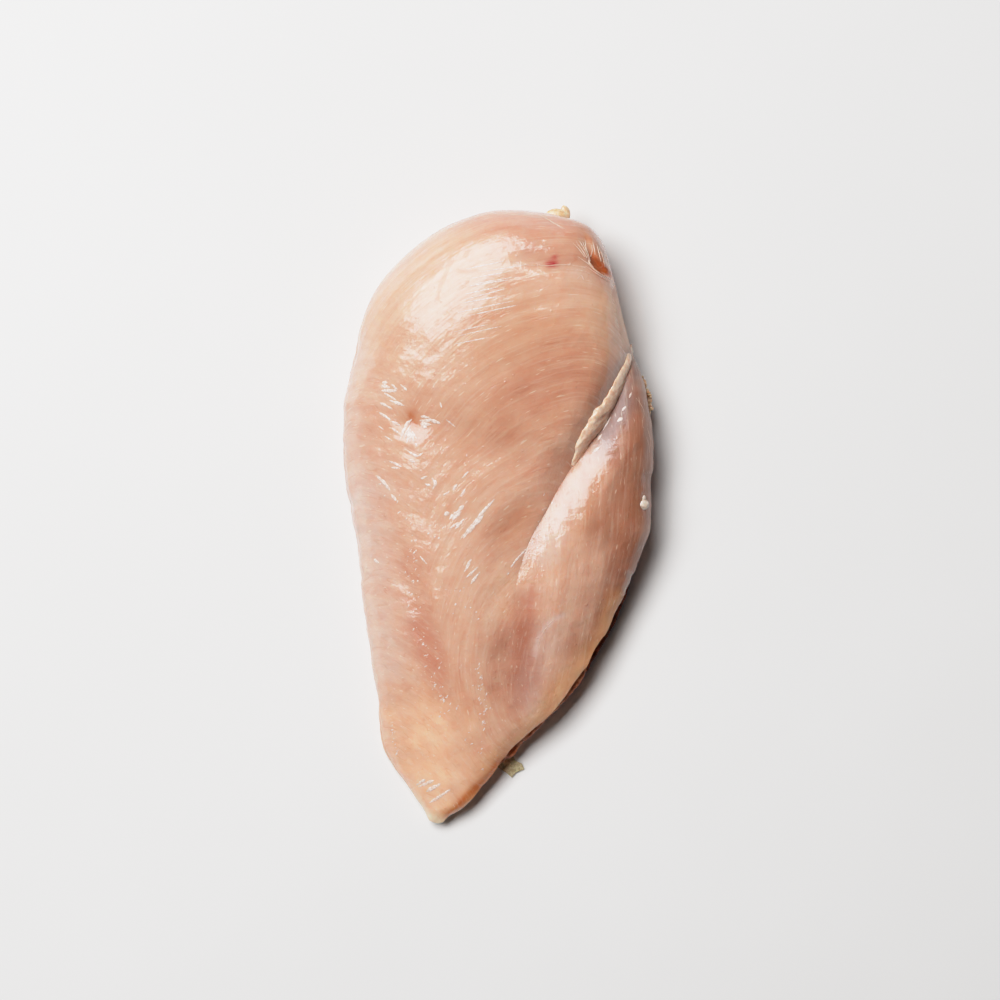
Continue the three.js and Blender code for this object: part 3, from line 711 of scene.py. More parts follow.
def linear(tone):
    """A tone up to 255 as linear light."""
    share = np.array(tone, dtype=float) / 255
    return np.where(share <= 0.04045, share / 12.92, ((share + 0.055) / 1.055) ** 2.4)


def meat_tones(x, y):
    """The tone of each place of the meat: a base, washed over by the strokes in turn."""
    tone = np.broadcast_to(linear(PEACH), x.shape + (3,))
    uneven = soft_noise(x, y, WASH_WOBBLE_SIZE, WASH_WOBBLE_SEED)
    for wash, strength, reach, stroke in WASHES:
        away, _ = distance_to(x, y, stroke)
        away = away / reach + WASH_WOBBLE * uneven
        share = strength * np.exp(-np.maximum(away, 0) ** 2)
        tone = mix(tone, linear(wash), share[..., None])
    return tone


def in_scene(name, data):
    """An object that holds the data, placed in the scene."""
    made = bpy.data.objects.new(name, data)
    bpy.context.scene.collection.objects.link(made)
    return made


def smooth_piece(name, mesh, material):
    """A piece with smooth faces in one material."""
    mesh.materials.append(material)
    mesh.shade_smooth()
    mesh.update()
    return in_scene(name, mesh)


def mesh_piece(name, places, faces, material):
    """A piece from places in millimetres."""
    mesh = bpy.data.meshes.new(name)
    mesh.from_pydata((np.asarray(places) * MM).tolist(), [], faces)
    return smooth_piece(name, mesh, material)


def modelled_piece(name, made, material):
    """A piece from a finished bmesh in metres."""
    mesh = bpy.data.meshes.new(name)
    made.to_mesh(mesh)
    made.free()
    return smooth_piece(name, mesh, material)


def skin_faces(rows, around):
    """Faces of a closed skin over rows of loops, with a point before and after them."""
    at = lambda row, column: 1 + row * around + column % around
    last = 1 + rows * around
    faces = []
    for c in range(around):
        faces.append((0, at(0, c + 1), at(0, c)))
        for r in range(rows - 1):
            faces.append((at(r, c), at(r, c + 1), at(r + 1, c + 1), at(r + 1, c)))
        faces.append((last, at(rows - 1, c), at(rows - 1, c + 1)))
    return faces


def with_ends(rows, first, last):
    """The values of all rows in one list, with one before and one after."""
    flat = rows.reshape(-1, rows.shape[-1])
    return np.vstack([first, flat, last])


def add_colour(mesh, name, values):
    """Gives each vertex a colour, whose last share is 1 where only three are given."""
    rgba = np.hstack([values, np.ones((len(values), 4 - values.shape[1]))]).astype(np.float32)
    attribute = mesh.attributes.new(name, "FLOAT_COLOR", "POINT")
    attribute.data.foreach_set("color", rgba.ravel())


def add_uv(mesh, name, values):
    """Gives each corner of the faces the two values of its vertex."""
    corners = np.empty(len(mesh.loops), dtype=np.int32)
    mesh.loops.foreach_get("vertex_index", corners)
    layer = mesh.uv_layers.new(name=name)
    layer.data.foreach_set("uv", values[corners].astype(np.float32).ravel())


def vertex_places(piece):
    """Where the vertices of a piece are, in millimetres."""
    flat = np.empty(3 * len(piece.data.vertices), dtype=np.float32)
    piece.data.vertices.foreach_get("co", flat)
    return flat.reshape(-1, 3).astype(float) / MM


def breast_piece(material):
    """The meat, whose vertices carry the grain, tone and shares of their places."""
    grid, upper = skin_grid()
    raised = grid + facing_of(grid) * low_relief(grid, upper)[..., None]
    end = lambda point: (point[0], point[1], point[2] * THICKNESS)
    places = with_ends(raised, end(TIP), end(HEAD))
    piece = mesh_piece("breast", places, skin_faces(*grid.shape[:2]), material)
    smooth_places = with_ends(grid, grid[0, 0], grid[-1, 0])
    x, y = smooth_places[:, 0], smooth_places[:, 1]
    for name, grain in zip(GRAIN_NAMES, grains(smooth_places)):
        add_uv(piece.data, "grain_" + name, np.stack(grain, axis=1))
    add_colour(piece.data, "tone", meat_tones(x, y))
    add_colour(piece.data, "shares", np.stack(grain_shares(x, y), axis=1))
    return piece


def facing(x, y):
    """Which way the upper surface faces."""
    across = top_height(x + SLOPE_STEP, y) - top_height(x - SLOPE_STEP, y)
    along = top_height(x, y + SLOPE_STEP) - top_height(x, y - SLOPE_STEP)
    return unit(np.stack([-across, -along, np.full(np.shape(x), 2 * SLOPE_STEP)], axis=-1))


def upright(x, y):
    """Straight up at each place."""
    return np.stack([np.zeros(np.shape(x)), np.zeros(np.shape(x)), np.ones(np.shape(x))], axis=-1)


def on_meat(points, sunk):
    """A path of x, y and half width laid on the meat, sunk by a share of its half width."""
    return [(x, y, float(top_height(x, y)) - sunk * half, half) for x, y, half in points]


def strip_piece(name, path, material, lies, flatness, ragged, lumpy, seed):
    """A closed strip of tissue along a path of x, y, z and half width.

    Its edges are ragged and its surface lumpy by shares of the half width.
    """
    length = sum(math.dist(a[:3], b[:3]) for a, b in zip(path, path[1:]))
    per_stretch = max(2, round(length / STRIP_STEP / (len(path) - 1)))
    places = through(path, per_stretch * (len(path) - 1))
    middle, half = places[:, :3], np.maximum(places[:, 3], STRIP_LEAST)
    walked = np.concatenate([[0], np.cumsum(np.linalg.norm(np.diff(middle, axis=0), axis=1))])
    along = unit(np.gradient(middle, axis=0))
    side = unit(np.cross(along, lies(middle[:, 0], middle[:, 1])))
    over = np.cross(side, along)
    turn = 2 * np.pi * np.arange(STRIP_SIDES) / STRIP_SIDES
    run = np.broadcast_to(walked[:, None], (len(walked), STRIP_SIDES))
    edge = np.where(np.cos(turn) > 0, 0, STRIP_EDGES_APART) + run
    wide = 1 + ragged * np.abs(np.cos(turn)) * soft_noise(edge, edge * 0, STRIP_RAGGED_SIZE, seed)
    around = run + STRIP_LUMPS_AROUND * np.cos(turn)
    onward = run * STRIP_LUMPS_ALONG + STRIP_LUMPS_AROUND * np.sin(turn)
    lump = 1 + lumpy * soft_noise(around, onward, STRIP_LUMPY_SIZE, seed + STRIP_LUMPS_SEED_STEP)
    reach = half[:, None] * wide * lump
    grid = middle[:, None] - (reach * np.cos(turn))[..., None] * side[:, None]
    grid = grid + (reach * flatness * np.sin(turn))[..., None] * over[:, None]
    grid[:, :, 2] = np.maximum(grid[:, :, 2], FLOOR_GAP)
    rows = grid[1:-1]
    faces = skin_faces(*rows.shape[:2])
    return mesh_piece(name, with_ends(rows, middle[0], middle[-1]), faces, material)


def lump_piece(name, lumps, material, roughness=0.16, grain=1.3):
    """Uneven lumps as one mesh."""
    made = bmesh.new()
    for at, half, turn in lumps:
        ball = bmesh.ops.create_icosphere(made, subdivisions=LUMP_FINENESS, radius=1)["verts"]
        for vert in ball:
            place = vert.co.copy()
            place *= 1 + roughness * noise.fractal(place * grain + Vector(at), *LUMP_NOISE)
            x, y = turned(place.x * half[0], place.y * half[1], turn)
            z = max(at[2] + place.z * half[2], FLOOR_GAP)
            vert.co = Vector((at[0] + x, at[1] + y, z)) * MM
    return modelled_piece(name, made, material)


def film_piece(material):
    """A thin wavy film of membrane that lies at one level."""
    made = bmesh.new()
    corners = [made.verts.new((x, y, FILM_LEVEL)) for x, y in FILM_OUTLINE]
    edges = [made.edges.new((a, b)) for a, b in zip(corners, corners[1:] + corners[:1])]
    bmesh.ops.triangle_fill(made, edges=edges, use_beauty=True, normal=(0, 0, 1))
    for _ in range(FILM_FINENESS):
        bmesh.ops.subdivide_edges(made, edges=list(made.edges), cuts=1, use_grid_fill=True)
    for vert in made.verts:
        x, y, z = vert.co
        wave = float(soft_noise(x, y, FILM_WAVE, FILM_SEED))
        shift = FILM_SHIFT * float(soft_noise(y, x, FILM_WAVE, FILM_SEED + 1))
        vert.co = Vector((x + shift, y - shift, max(z + FILM_RISE * wave, FLOOR_GAP)))
    bmesh.ops.recalc_face_normals(made, faces=list(made.faces))
    bmesh.ops.solidify(made, geom=list(made.faces), thickness=FILM_THICKNESS)
    # Solidify leaves the order of the faces to chance
    made.faces.sort(key=lambda face: face.calc_center_median().dot(FILM_ORDER))
    bmesh.ops.scale(made, vec=(MM, MM, MM), verts=list(made.verts))
    bmesh.ops.recalc_face_normals(made, faces=list(made.faces))
    return modelled_piece("wet_film", made, material)


class Nodes:
    """Adds nodes to one tree and links them.

    Where a node has several sockets of one name, they go by number.
    """

    def __init__(self, tree):
        self.tree = tree

    def link(self, output, socket):
        self.tree.links.new(output, socket)

    def add(self, kind, inputs=None, **settings):
        """A node with its settings and with values or links in its inputs."""
        node = self.tree.nodes.new(kind)
        for name, value in settings.items():
            setattr(node, name, value)
        for name, value in (inputs or {}).items():
            if isinstance(value, bpy.types.NodeSocket):
                self.link(value, node.inputs[name])
            else:
                node.inputs[name].default_value = value
        return node

    def first(self, kind, inputs=None, **settings):
        """The first output of a new node."""
        return self.add(kind, inputs, **settings).outputs[0]

    def plus(self, a, b):
        return self.first("ShaderNodeMath", {0: a, 1: b}, operation="ADD")

    def minus(self, a, b):
        return self.first("ShaderNodeMath", {0: a, 1: b}, operation="SUBTRACT")

    def times(self, a, b):
        return self.first("ShaderNodeMath", {0: a, 1: b}, operation="MULTIPLY")

    def over(self, a, b):
        return self.first("ShaderNodeMath", {0: a, 1: b}, operation="DIVIDE")

    def ramp(self, value, low, high, to_low=0.0, to_high=1.0):
        """A value moved smoothly from one range to another."""
        names = {"Value": value, "From Min": low, "From Max": high}
        names |= {"To Min": to_low, "To Max": to_high}
        return self.first("ShaderNodeMapRange", names, interpolation_type="SMOOTHSTEP")

    def blend(self, share, a, b):
        """Two values mixed by a share."""
        return self.first("ShaderNodeMix", {0: share, 2: a, 3: b})

    def tint(self, share, a, b, how="MIX"):
        """Two colours mixed by a share."""
        names = {0: share, 6: a, 7: b}
        node = self.add("ShaderNodeMix", names, data_type="RGBA", blend_type=how)
        return node.outputs[2]

    def speckle(self, vector, scale, detail=2.0, roughness=0.5):
        """Noise as a value around 0.5."""
        names = {"Vector": vector, "Scale": scale, "Detail": detail, "Roughness": roughness}
        return self.add("ShaderNodeTexNoise", names).outputs["Fac"]

    def raise_by(self, height, main):
        """Raises the surface of a shader by a height in millimetres."""
        bump = {"Height": height, "Distance": MM, "Strength": 1.0}
        self.link(self.first("ShaderNodeBump", bump), main.inputs["Normal"])


class Growth(Nodes):
    """A Geometry Nodes tree that grows a shape along the edges it is given."""

    def __init__(self, name, inputs):
        super().__init__(bpy.data.node_groups.new(name, "GeometryNodeTree"))
        sockets = {"Geometry": "Geometry", "Material": "Material"} | inputs
        for socket, kind in sockets.items():
            self.tree.interface.new_socket(socket, in_out="INPUT", socket_type="NodeSocket" + kind)
        self.tree.interface.new_socket("Geometry", in_out="OUTPUT",
                                       socket_type="NodeSocketGeometry")
        self.given = self.add("NodeGroupInput").outputs
        self.path = self.first("GeometryNodeMeshToCurve", {"Mesh": self.given["Geometry"]})

    def held(self, name, kind="FLOAT"):
        """What each place of the path holds under that name."""
        return self.first("GeometryNodeInputNamedAttribute", {"Name": name}, data_type=kind)

    def ring(self):
        """A round section."""
        sizes = {"Resolution": self.given["Sides"], "Radius": self.given["Unit"]}
        return self.first("GeometryNodeCurvePrimitiveCircle", sizes)

    def sweep(self, path, section):
        """A closed body along the path, as thick as each place's half width."""
        names = {"Curve": path, "Profile Curve": section, "Scale": self.held("half")}
        return self.first("GeometryNodeCurveToMesh", names | {"Fill Caps": True})

    def finish(self, shape):
        """Ends the tree with real smooth faces in the given material."""
        real = self.first("GeometryNodeRealizeInstances", {"Geometry": shape})
        even = self.first("GeometryNodeSetShadeSmooth", {"Geometry": real})
        names = {"Geometry": even, "Material": self.given["Material"]}
        made = self.first("GeometryNodeSetMaterial", names)
        self.link(made, self.add("NodeGroupOutput").inputs["Geometry"])
        return self.tree


def thread_tree():
    """Round threads."""
    growth = Growth("Threads", {"Sides": "Int", "Unit": "Float"})
    return growth.finish(growth.sweep(growth.path, growth.ring()))


def ribbon_tree():
    """Flat ribbons, each place facing its own way up."""
    growth = Growth("Ribbons", {"Sides": "Int", "Unit": "Float", "Flatness": "Float"})
    facings = {"Curve": growth.path, "Normal": growth.held("up", "FLOAT_VECTOR")}
    path = growth.first("GeometryNodeSetCurveNormal", facings, mode="FREE")
    scale = {0: growth.given["Flatness"], 1: 1.0, 2: 1.0}
    flat = growth.first("ShaderNodeCombineXYZ", scale)
    section = growth.first("GeometryNodeTransform", {"Geometry": growth.ring(), "Scale": flat})
    return growth.finish(growth.sweep(path, section))


def fat_grain_tree():
    """Small uneven grains strewn along the path."""
    growth = Growth("Fat grains", {"Count": "Int", "Stray": "Float", "Smallest": "Float",
                                   "Largest": "Float", "Seed": "Int"})
    given = growth.given

    def three_chances(low, high, first_seed):
        """A vector of random numbers, each with its own seed."""
        chances = {}
        for k in range(3):
            names = {2: low, 3: high, 8: growth.plus(given["Seed"], k + first_seed)}
            chance = growth.add("FunctionNodeRandomValue", names, data_type="FLOAT")
            chances[k] = chance.outputs[1]
        return growth.first("ShaderNodeCombineXYZ", chances)

    spots = growth.first("GeometryNodeCurveToPoints",
                         {"Curve": growth.path, "Count": given["Count"]})
    stray = three_chances(growth.times(given["Stray"], -1.0), given["Stray"], STRAY_SEEDS)
    strewn = growth.first("GeometryNodeSetPosition", {"Geometry": spots, "Offset": stray})
    ball = growth.first("GeometryNodeMeshIcoSphere",
                        {"Radius": 1.0, "Subdivisions": FAT_GRAIN_FINENESS})
    size = three_chances(given["Smallest"], given["Largest"], SIZE_SEEDS)
    names = {"Points": strewn, "Instance": ball, "Scale": size}
    return growth.finish(growth.first("GeometryNodeInstanceOnPoints", names))


def grown_piece(name, paths, tree, settings):
    """A piece grown by a tree along paths of x, y, z and half width, and the way up if given."""
    places = np.vstack(paths)
    starts = np.cumsum([0] + [len(path) for path in paths])
    edges = [(i, i + 1) for a, b in zip(starts, starts[1:]) for i in range(a, b - 1)]
    mesh = bpy.data.meshes.new(name + "_paths")
    mesh.from_pydata((places[:, :3] * MM).tolist(), edges, [])
    mesh.attributes.new("half", "FLOAT", "POINT").data.foreach_set("value", places[:, 3])
    if places.shape[1] > 4:
        up = mesh.attributes.new("up", "FLOAT_VECTOR", "POINT")
        up.data.foreach_set("vector", places[:, 4:7].ravel())
    source = in_scene(name + "_paths", mesh)
    growth = source.modifiers.new("grow", "NODES")
    growth.node_group = tree
    for socket in tree.interface.items_tree:
        if socket.name in settings:
            growth[socket.identifier] = settings[socket.name]
    ready = source.evaluated_get(bpy.context.evaluated_depsgraph_get())
    grown = bpy.data.meshes.new_from_object(ready)
    bpy.data.objects.remove(source)
    return in_scene(name, grown)


def finely(points, step, least):
    """A path of many places, about a step apart, and its length."""
    length = sum(math.dist(a[:2], b[:2]) for a, b in zip(points, points[1:]))
    return through(points, max(least, round(length / step))), length


def thread_path(points):
    """A path of x, y and half width laid finely on the meat, a little sunk."""
    path, _ = finely(points, STRIP_STEP, THREAD_LEAST_STEPS)
    half = np.maximum(path[:, 2], STRIP_LEAST)
    z = top_height(path[:, 0], path[:, 1]) - MEMBRANE_SUNK * half
    return np.column_stack([path[:, 0], path[:, 1], z, half])


def ribbon_path(skin, half, *points):
    """A path that lies flat on the skin, with ragged sides and thin ends."""
    path, length = finely(points, RIBBON_STEP, RIBBON_LEAST_STEPS)
    x, y = path[:, 0], path[:, 1]
    share = np.linspace(-1, 1, len(path))
    ragged = 1 + RIBBON_RAGGED * soft_noise(x, y, RIBBON_RAGGED_SIZE, RIBBON_RAGGED_SEED)
    half = min(RIBBON_WIDER * half, RIBBON_STOUTEST * length)
    widths = np.maximum(half * ragged * (1 - share**2) ** RIBBON_TAPER, RIBBON_LEAST)
    down = Vector((0, 0, -1))
    hits = [skin.ray_cast(Vector((*place, THICKNESS + RAY_ABOVE)), down) for place in zip(x, y)]
    level = [hit[0].z + RIBBON_RISE for hit in hits]
    up = [tuple(hit[1]) for hit in hits]
    return np.column_stack([x, y, level, widths, up])


def strewn_glints():
    """The strewn ribbons of painted glints, each as a half width and two places."""
    chance = np.random.default_rng(STREWN_SEED)
    for halves, lengths, turns, strokes in STREWN_GLINTS:
        for count, stray, stroke in strokes:
            line = through(stroke, count)
            for x, y in line + chance.normal(0, stray, line.shape):
                turn = math.radians(chance.uniform(*turns))
                length, half = chance.uniform(*lengths), chance.uniform(*halves)
                if left_rim(y)[0] + STREWN_INSET < x < right_rim(y)[0] - STREWN_INSET:
                    yield half, (x, y), (x + length * math.cos(turn), y + length * math.sin(turn))


# Materials. Heights are in millimetres. A pair named SHOW or SHOWS is the value at which a
# pattern starts to show and the value at which it is full.
FLESH_RADIUS = (1.0, 0.42, 0.26)

# The fibres: width and length against the group's own, shift, detail and roughness of the noise
FIBRE_PARTS = {
    "Ridges": (0.8, 0.8, 0.0, 2.0, 0.5),
    "Bundles": (2.2, 1.2, 7.0, 1.0, 0.4),
    "Breaks": (4.0, 0.35, 29.0, 2.0, 0.5),
    "Bands": (3.2, 1.4, 19.0, 2.0, 0.55),
    "Threads": (0.6, 0.2, 13.0, 1.0, 0.5),
    "Folds": (1.3, 0.32, 41.0, 1.0, 0.4),
}
FIBRES_SHOW = {"Breaks": (0.48, 0.62), "Bands": (0.3, 0.7), "Threads": (0.66, 0.76),
               "Folds": (0.36, 0.64)}
GROOVE_WIDTH = 0.04
# How large the fibres are in each grain, where that isn't as the group has them
FIBRE_SIZES = {"middle": {}, "margin": {"Width": 0.9, "Length": 7.0}, "fold": {"Width": 1.2}}

# The moisture: beads, slow swells and mottle
BEAD_REACH = 0.22
BEAD_HEIGHT = 0.12
SWELL_SCALE = 0.22
SWELL_HEIGHT = 0.55
MOTTLE_SCALE = 0.35

# The meat: each tint with its way of mixing, and how strong it is at most
MEAT_TINTS = {
    "bands": ((0.86, 0.66, 0.6, 1), "MULTIPLY"),
    "mottle": ((1.0, 0.82, 0.76, 1), "MULTIPLY"),
    "streaks": ((0.8, 0.62, 0.5, 1), "MIX"),
    "grooves": ((0.78, 0.54, 0.44, 1), "MULTIPLY"),
    "threads": ((0.86, 0.7, 0.55, 1), "MIX"),
}
TINT_STRENGTHS = {"bands": 0.42, "mottle": 0.35, "streaks": 0.16, "grooves": 0.26, "threads": 0.45}
MOTTLE_SHOWS = (0.42, 0.68)
STREAKS_SHOW = (0.0, 0.2)
DULL_FRAYING = 0.6
DULL_SHOWS = (0.42, 0.58)
WET_AND_DULL_ROUGHNESS = (0.08, 0.4)
WET_AND_DULL_COAT = (0.3, 0.02)
COAT_ROUGHNESS = 0.03
RIDGE_HEIGHT = 0.08
MARGIN_RIDGE_HEIGHT = 0.03
ROUGH_RIDGE_HEIGHT = 0.25
PATCHES_SHOW = (0.4, 0.6)
FOLD_HEIGHTS = (0.03, 0.12)
GRIT_SCALE = 1.1
GRIT_HEIGHTS = (0.0, 0.3)
GROOVE_DEPTH = 0.03

# Fat, membrane and torn meat
TISSUE_SHOWS = (0.35, 0.65)
TISSUE_DEPTH = 0.0005
COVER_SPREAD = 0.15


def new_group(name, inputs, outputs):
    """An empty shader node group with the given sockets, and its input and output nodes."""
    tree = bpy.data.node_groups.new(name, "ShaderNodeTree")
    for socket, value in inputs.items():
        kind = "NodeSocketVector" if value is None else "NodeSocketFloat"
        made = tree.interface.new_socket(socket, in_out="INPUT", socket_type=kind)
        if value is not None:
            made.default_value = value
    for socket in outputs:
        tree.interface.new_socket(socket, in_out="OUTPUT", socket_type="NodeSocketFloat")
    nodes = Nodes(tree)
    return nodes, nodes.add("NodeGroupInput").outputs, nodes.add("NodeGroupOutput").inputs


def fibre_group():
    """Muscle fibres along a grain: ridges, grooves, bands, pale threads and steep folds.

    The grain's first number runs along the fibres and the second across them.
    """
    inputs = {"Grain": None, "Width": 1.0, "Length": 16.0}
    outputs = ("Ridges", "Grooves", "Bands", "Threads", "Folds")
    nodes, given, results = new_group("Fibres", inputs, outputs)
    parts = nodes.add("ShaderNodeSeparateXYZ", {0: given["Grain"]}).outputs

    def pattern(name):
        """Noise in which a fibre of the part's width and length is one unit."""
        width, length, shift, detail, roughness = FIBRE_PARTS[name]
        across = nodes.over(parts[1], nodes.times(given["Width"], width))
        run = nodes.over(parts[0], nodes.times(given["Length"], length))
        place = nodes.first("ShaderNodeCombineXYZ", {0: run, 1: across, 2: shift})
        return nodes.speckle(place, 1.0, detail, roughness)

    shown = lambda name: nodes.ramp(pattern(name), *FIBRES_SHOW[name])
    off = nodes.minus(pattern("Bundles"), 0.5)
    off = nodes.first("ShaderNodeMath", {0: off}, operation="ABSOLUTE")
    nodes.link(nodes.minus(pattern("Ridges"), 0.5), results["Ridges"])
    nodes.link(nodes.times(nodes.ramp(off, 0.0, GROOVE_WIDTH, 1.0, 0.0), shown("Breaks")),
               results["Grooves"])
    for name in ("Bands", "Threads", "Folds"):
        nodes.link(shown(name), results[name])
    return nodes.tree


def wet_group():
    """Moisture on the surface: slow swells and beads as a height in millimetres, and mottle."""
    inputs = {"Place": None, "Bead size": 2.2, "Bead share": 0.12}
    nodes, given, results = new_group("Moisture", inputs, ("Height", "Mottle"))
    place = nodes.first("ShaderNodeVectorMath", {0: given["Place"], 1: (1 / MM,) * 3},
                        operation="MULTIPLY")
    scale = nodes.over(1.0, given["Bead size"])
    cells = nodes.add("ShaderNodeTexVoronoi", {"Vector": place, "Scale": scale}).outputs
    bead = nodes.ramp(cells["Distance"], 0.0, BEAD_REACH, 1.0, 0.0)
    pick = nodes.first("ShaderNodeSeparateColor", {0: cells["Color"]})
    chosen = nodes.first("ShaderNodeMath", {0: pick, 1: given["Bead share"]},
                         operation="LESS_THAN")
    beads = nodes.times(nodes.times(bead, chosen), BEAD_HEIGHT)
    swells = nodes.times(nodes.speckle(place, SWELL_SCALE, detail=4.0), SWELL_HEIGHT)
    nodes.link(nodes.plus(beads, swells), results["Height"])
    nodes.link(nodes.speckle(place, MOTTLE_SCALE, detail=4.0, roughness=0.6), results["Mottle"])
    return nodes.tree


def shader(name, roughness, subsurface, scale, radius, specular):
    """A material with one main shader, whose plain numbers are set on its own sockets."""
    material = bpy.data.materials.new(name)
    material.use_nodes = True
    main = material.node_tree.nodes["Principled BSDF"]
    plain = {"Roughness": roughness, "Subsurface Weight": subsurface, "Subsurface Scale": scale,
             "Subsurface Radius": radius, "Specular IOR Level": specular}
    for socket, value in plain.items():
        main.inputs[socket].default_value = value
    return material, Nodes(material.node_tree), main


def meat_material(fibres, moisture):
    """Raw meat: the painted tone with fibres, mottle and moisture, dull where a film lies."""
    material, nodes, main = shader("raw_meat", roughness=0.08, subsurface=0.45, scale=0.004,
                                   radius=FLESH_RADIUS, specular=0.7)
    main.inputs["Coat Roughness"].default_value = COAT_ROUGHNESS
    shares = nodes.add("ShaderNodeAttribute", attribute_name="shares").outputs
    margin, fold, rough = nodes.add("ShaderNodeSeparateColor", {0: shares["Color"]}).outputs
    grain = {}
    for name in GRAIN_NAMES:
        sizes = {"Grain": nodes.first("ShaderNodeUVMap", uv_map="grain_" + name)} | FIBRE_SIZES[name]
        grain[name] = nodes.add("ShaderNodeGroup", sizes, node_tree=fibres).outputs

    def fibre(output):
        """One output of the fibres, from whichever grain shows."""
        left = nodes.blend(margin, grain["middle"][output], grain["margin"][output])
        return nodes.blend(fold, left, grain["fold"][output])

    place = nodes.add("ShaderNodeTexCoord").outputs["Object"]
    wet = nodes.add("ShaderNodeGroup", {"Place": place}, node_tree=moisture).outputs
    ridges, grooves = fibre("Ridges"), fibre("Grooves")
    shown = {
        "bands": nodes.times(fibre("Bands"), TINT_STRENGTHS["bands"]),
        "mottle": nodes.ramp(wet["Mottle"], *MOTTLE_SHOWS, 0.0, TINT_STRENGTHS["mottle"]),
        "streaks": nodes.ramp(ridges, *STREAKS_SHOW, 0.0, TINT_STRENGTHS["streaks"]),
        "grooves": nodes.times(grooves, TINT_STRENGTHS["grooves"]),
        "threads": nodes.times(fibre("Threads"), TINT_STRENGTHS["threads"]),
    }
    colour = nodes.add("ShaderNodeAttribute", attribute_name="tone").outputs["Color"]
    for name, share in shown.items():
        colour = nodes.tint(share, colour, *MEAT_TINTS[name])
    nodes.link(colour, main.inputs["Base Color"])

    frayed = nodes.plus(shares["Alpha"], nodes.times(ridges, DULL_FRAYING))
    dull = nodes.ramp(frayed, *DULL_SHOWS)
    nodes.link(nodes.blend(dull, *WET_AND_DULL_ROUGHNESS), main.inputs["Roughness"])
    nodes.link(nodes.blend(dull, *WET_AND_DULL_COAT), main.inputs["Coat Weight"])

    calm = nodes.blend(margin, RIDGE_HEIGHT, MARGIN_RIDGE_HEIGHT)
    height = nodes.times(ridges, nodes.blend(rough, calm, ROUGH_RIDGE_HEIGHT))
    patchy = nodes.ramp(wet["Mottle"], *PATCHES_SHOW, *FOLD_HEIGHTS)
    height = nodes.plus(height, nodes.times(nodes.times(fibre("Folds"), rough), patchy))
    grit = nodes.speckle(place, GRIT_SCALE / MM, roughness=0.6)
    height = nodes.plus(height, nodes.times(grit, nodes.blend(rough, *GRIT_HEIGHTS)))
    height = nodes.minus(height, nodes.times(grooves, GROOVE_DEPTH))
    nodes.raise_by(nodes.plus(height, wet["Height"]), main)
    return material


def tissue_material(name, light, dark, moisture, roughness=0.15, subsurface=0.3, alpha=1.0,
                    grain=1.1, depth=0.15, gloss=0.8):
    """Fat, membrane or torn meat: two tones in small lumps, with a moist surface."""
    material, nodes, main = shader(name, roughness, subsurface, TISSUE_DEPTH, FLESH_RADIUS, gloss)
    place = nodes.add("ShaderNodeTexCoord").outputs["Object"]
    wet = nodes.add("ShaderNodeGroup", {"Place": place}, node_tree=moisture).outputs
    small = nodes.speckle(place, grain / MM, detail=4.0, roughness=0.6)
    share = nodes.ramp(small, *TISSUE_SHOWS)
    colour = nodes.tint(share, (*linear(dark), 1), (*linear(light), 1))
    nodes.link(colour, main.inputs["Base Color"])
    nodes.raise_by(nodes.plus(nodes.times(small, depth), wet["Height"]), main)
    if alpha < 1:
        cover = nodes.ramp(small, *TISSUE_SHOWS, alpha - COVER_SPREAD, alpha + COVER_SPREAD)
        nodes.link(cover, main.inputs["Alpha"])
    return material


# The floor, light and camera. Each softbox has its turn and rise in degrees, width and height in
# metres, watts and tone, and whether the wet surface mirrors it or it only lights.
FLOOR_HALF = 2000
FLOOR_TONES = ((0.84, 0.84, 0.838, 1), (0.87, 0.87, 0.87, 1))
FLOOR_CLOUD_SCALE = 6.0
FLOOR_CLOUDS_SHOW = (0.35, 0.75)
SOFTBOXES = {
    "window": (141, 48, (1.6, 0.85), 20, (0.84, 0.9, 1.0), True),
    "daylight": (142, 64, (0.8, 0.5), 20, (1.0, 0.985, 0.975), False),
}
SOFTBOX_AWAY = 1.2
SKY = (0.94, 0.97, 1.0, 1)
SKY_STRENGTH = 0.035
LENS = 85
NEAREST_SEEN = 0.01
PICTURE_WIDTH = 288.17
PICTURE_LEVEL = 10
PICTURE_CENTRE = (1.54, 5.09)
PICTURE_ROLL = 5
# How bright light is rolled off: the light and what is seen of it, up to the level of white
WHITE_LEVEL = 2.5
ROLL_OFF = ((0.2, 0.2), (0.45, 0.45), (0.7, 0.67), (1.0, 0.83), (1.5, 0.93))


def lay_the_floor():
    """A plain pale floor, faintly clouded."""
    material, nodes, main = shader("pale_surface", roughness=0.55, subsurface=0.0, scale=0.001,
                                   radius=(1, 1, 1), specular=0.3)
    place = nodes.add("ShaderNodeTexCoord").outputs["Object"]
    clouds = nodes.speckle(place, FLOOR_CLOUD_SCALE, detail=4.0, roughness=0.55)
    cloud = nodes.ramp(clouds, *FLOOR_CLOUDS_SHOW)
    nodes.link(nodes.tint(cloud, *FLOOR_TONES), main.inputs["Base Color"])
    corners = [(x * FLOOR_HALF, y * FLOOR_HALF, 0) for x, y in ((-1, -1), (1, -1), (1, 1), (-1, 1))]
    piece = mesh_piece("pale_floor", corners, [(0, 1, 2, 3)], material)


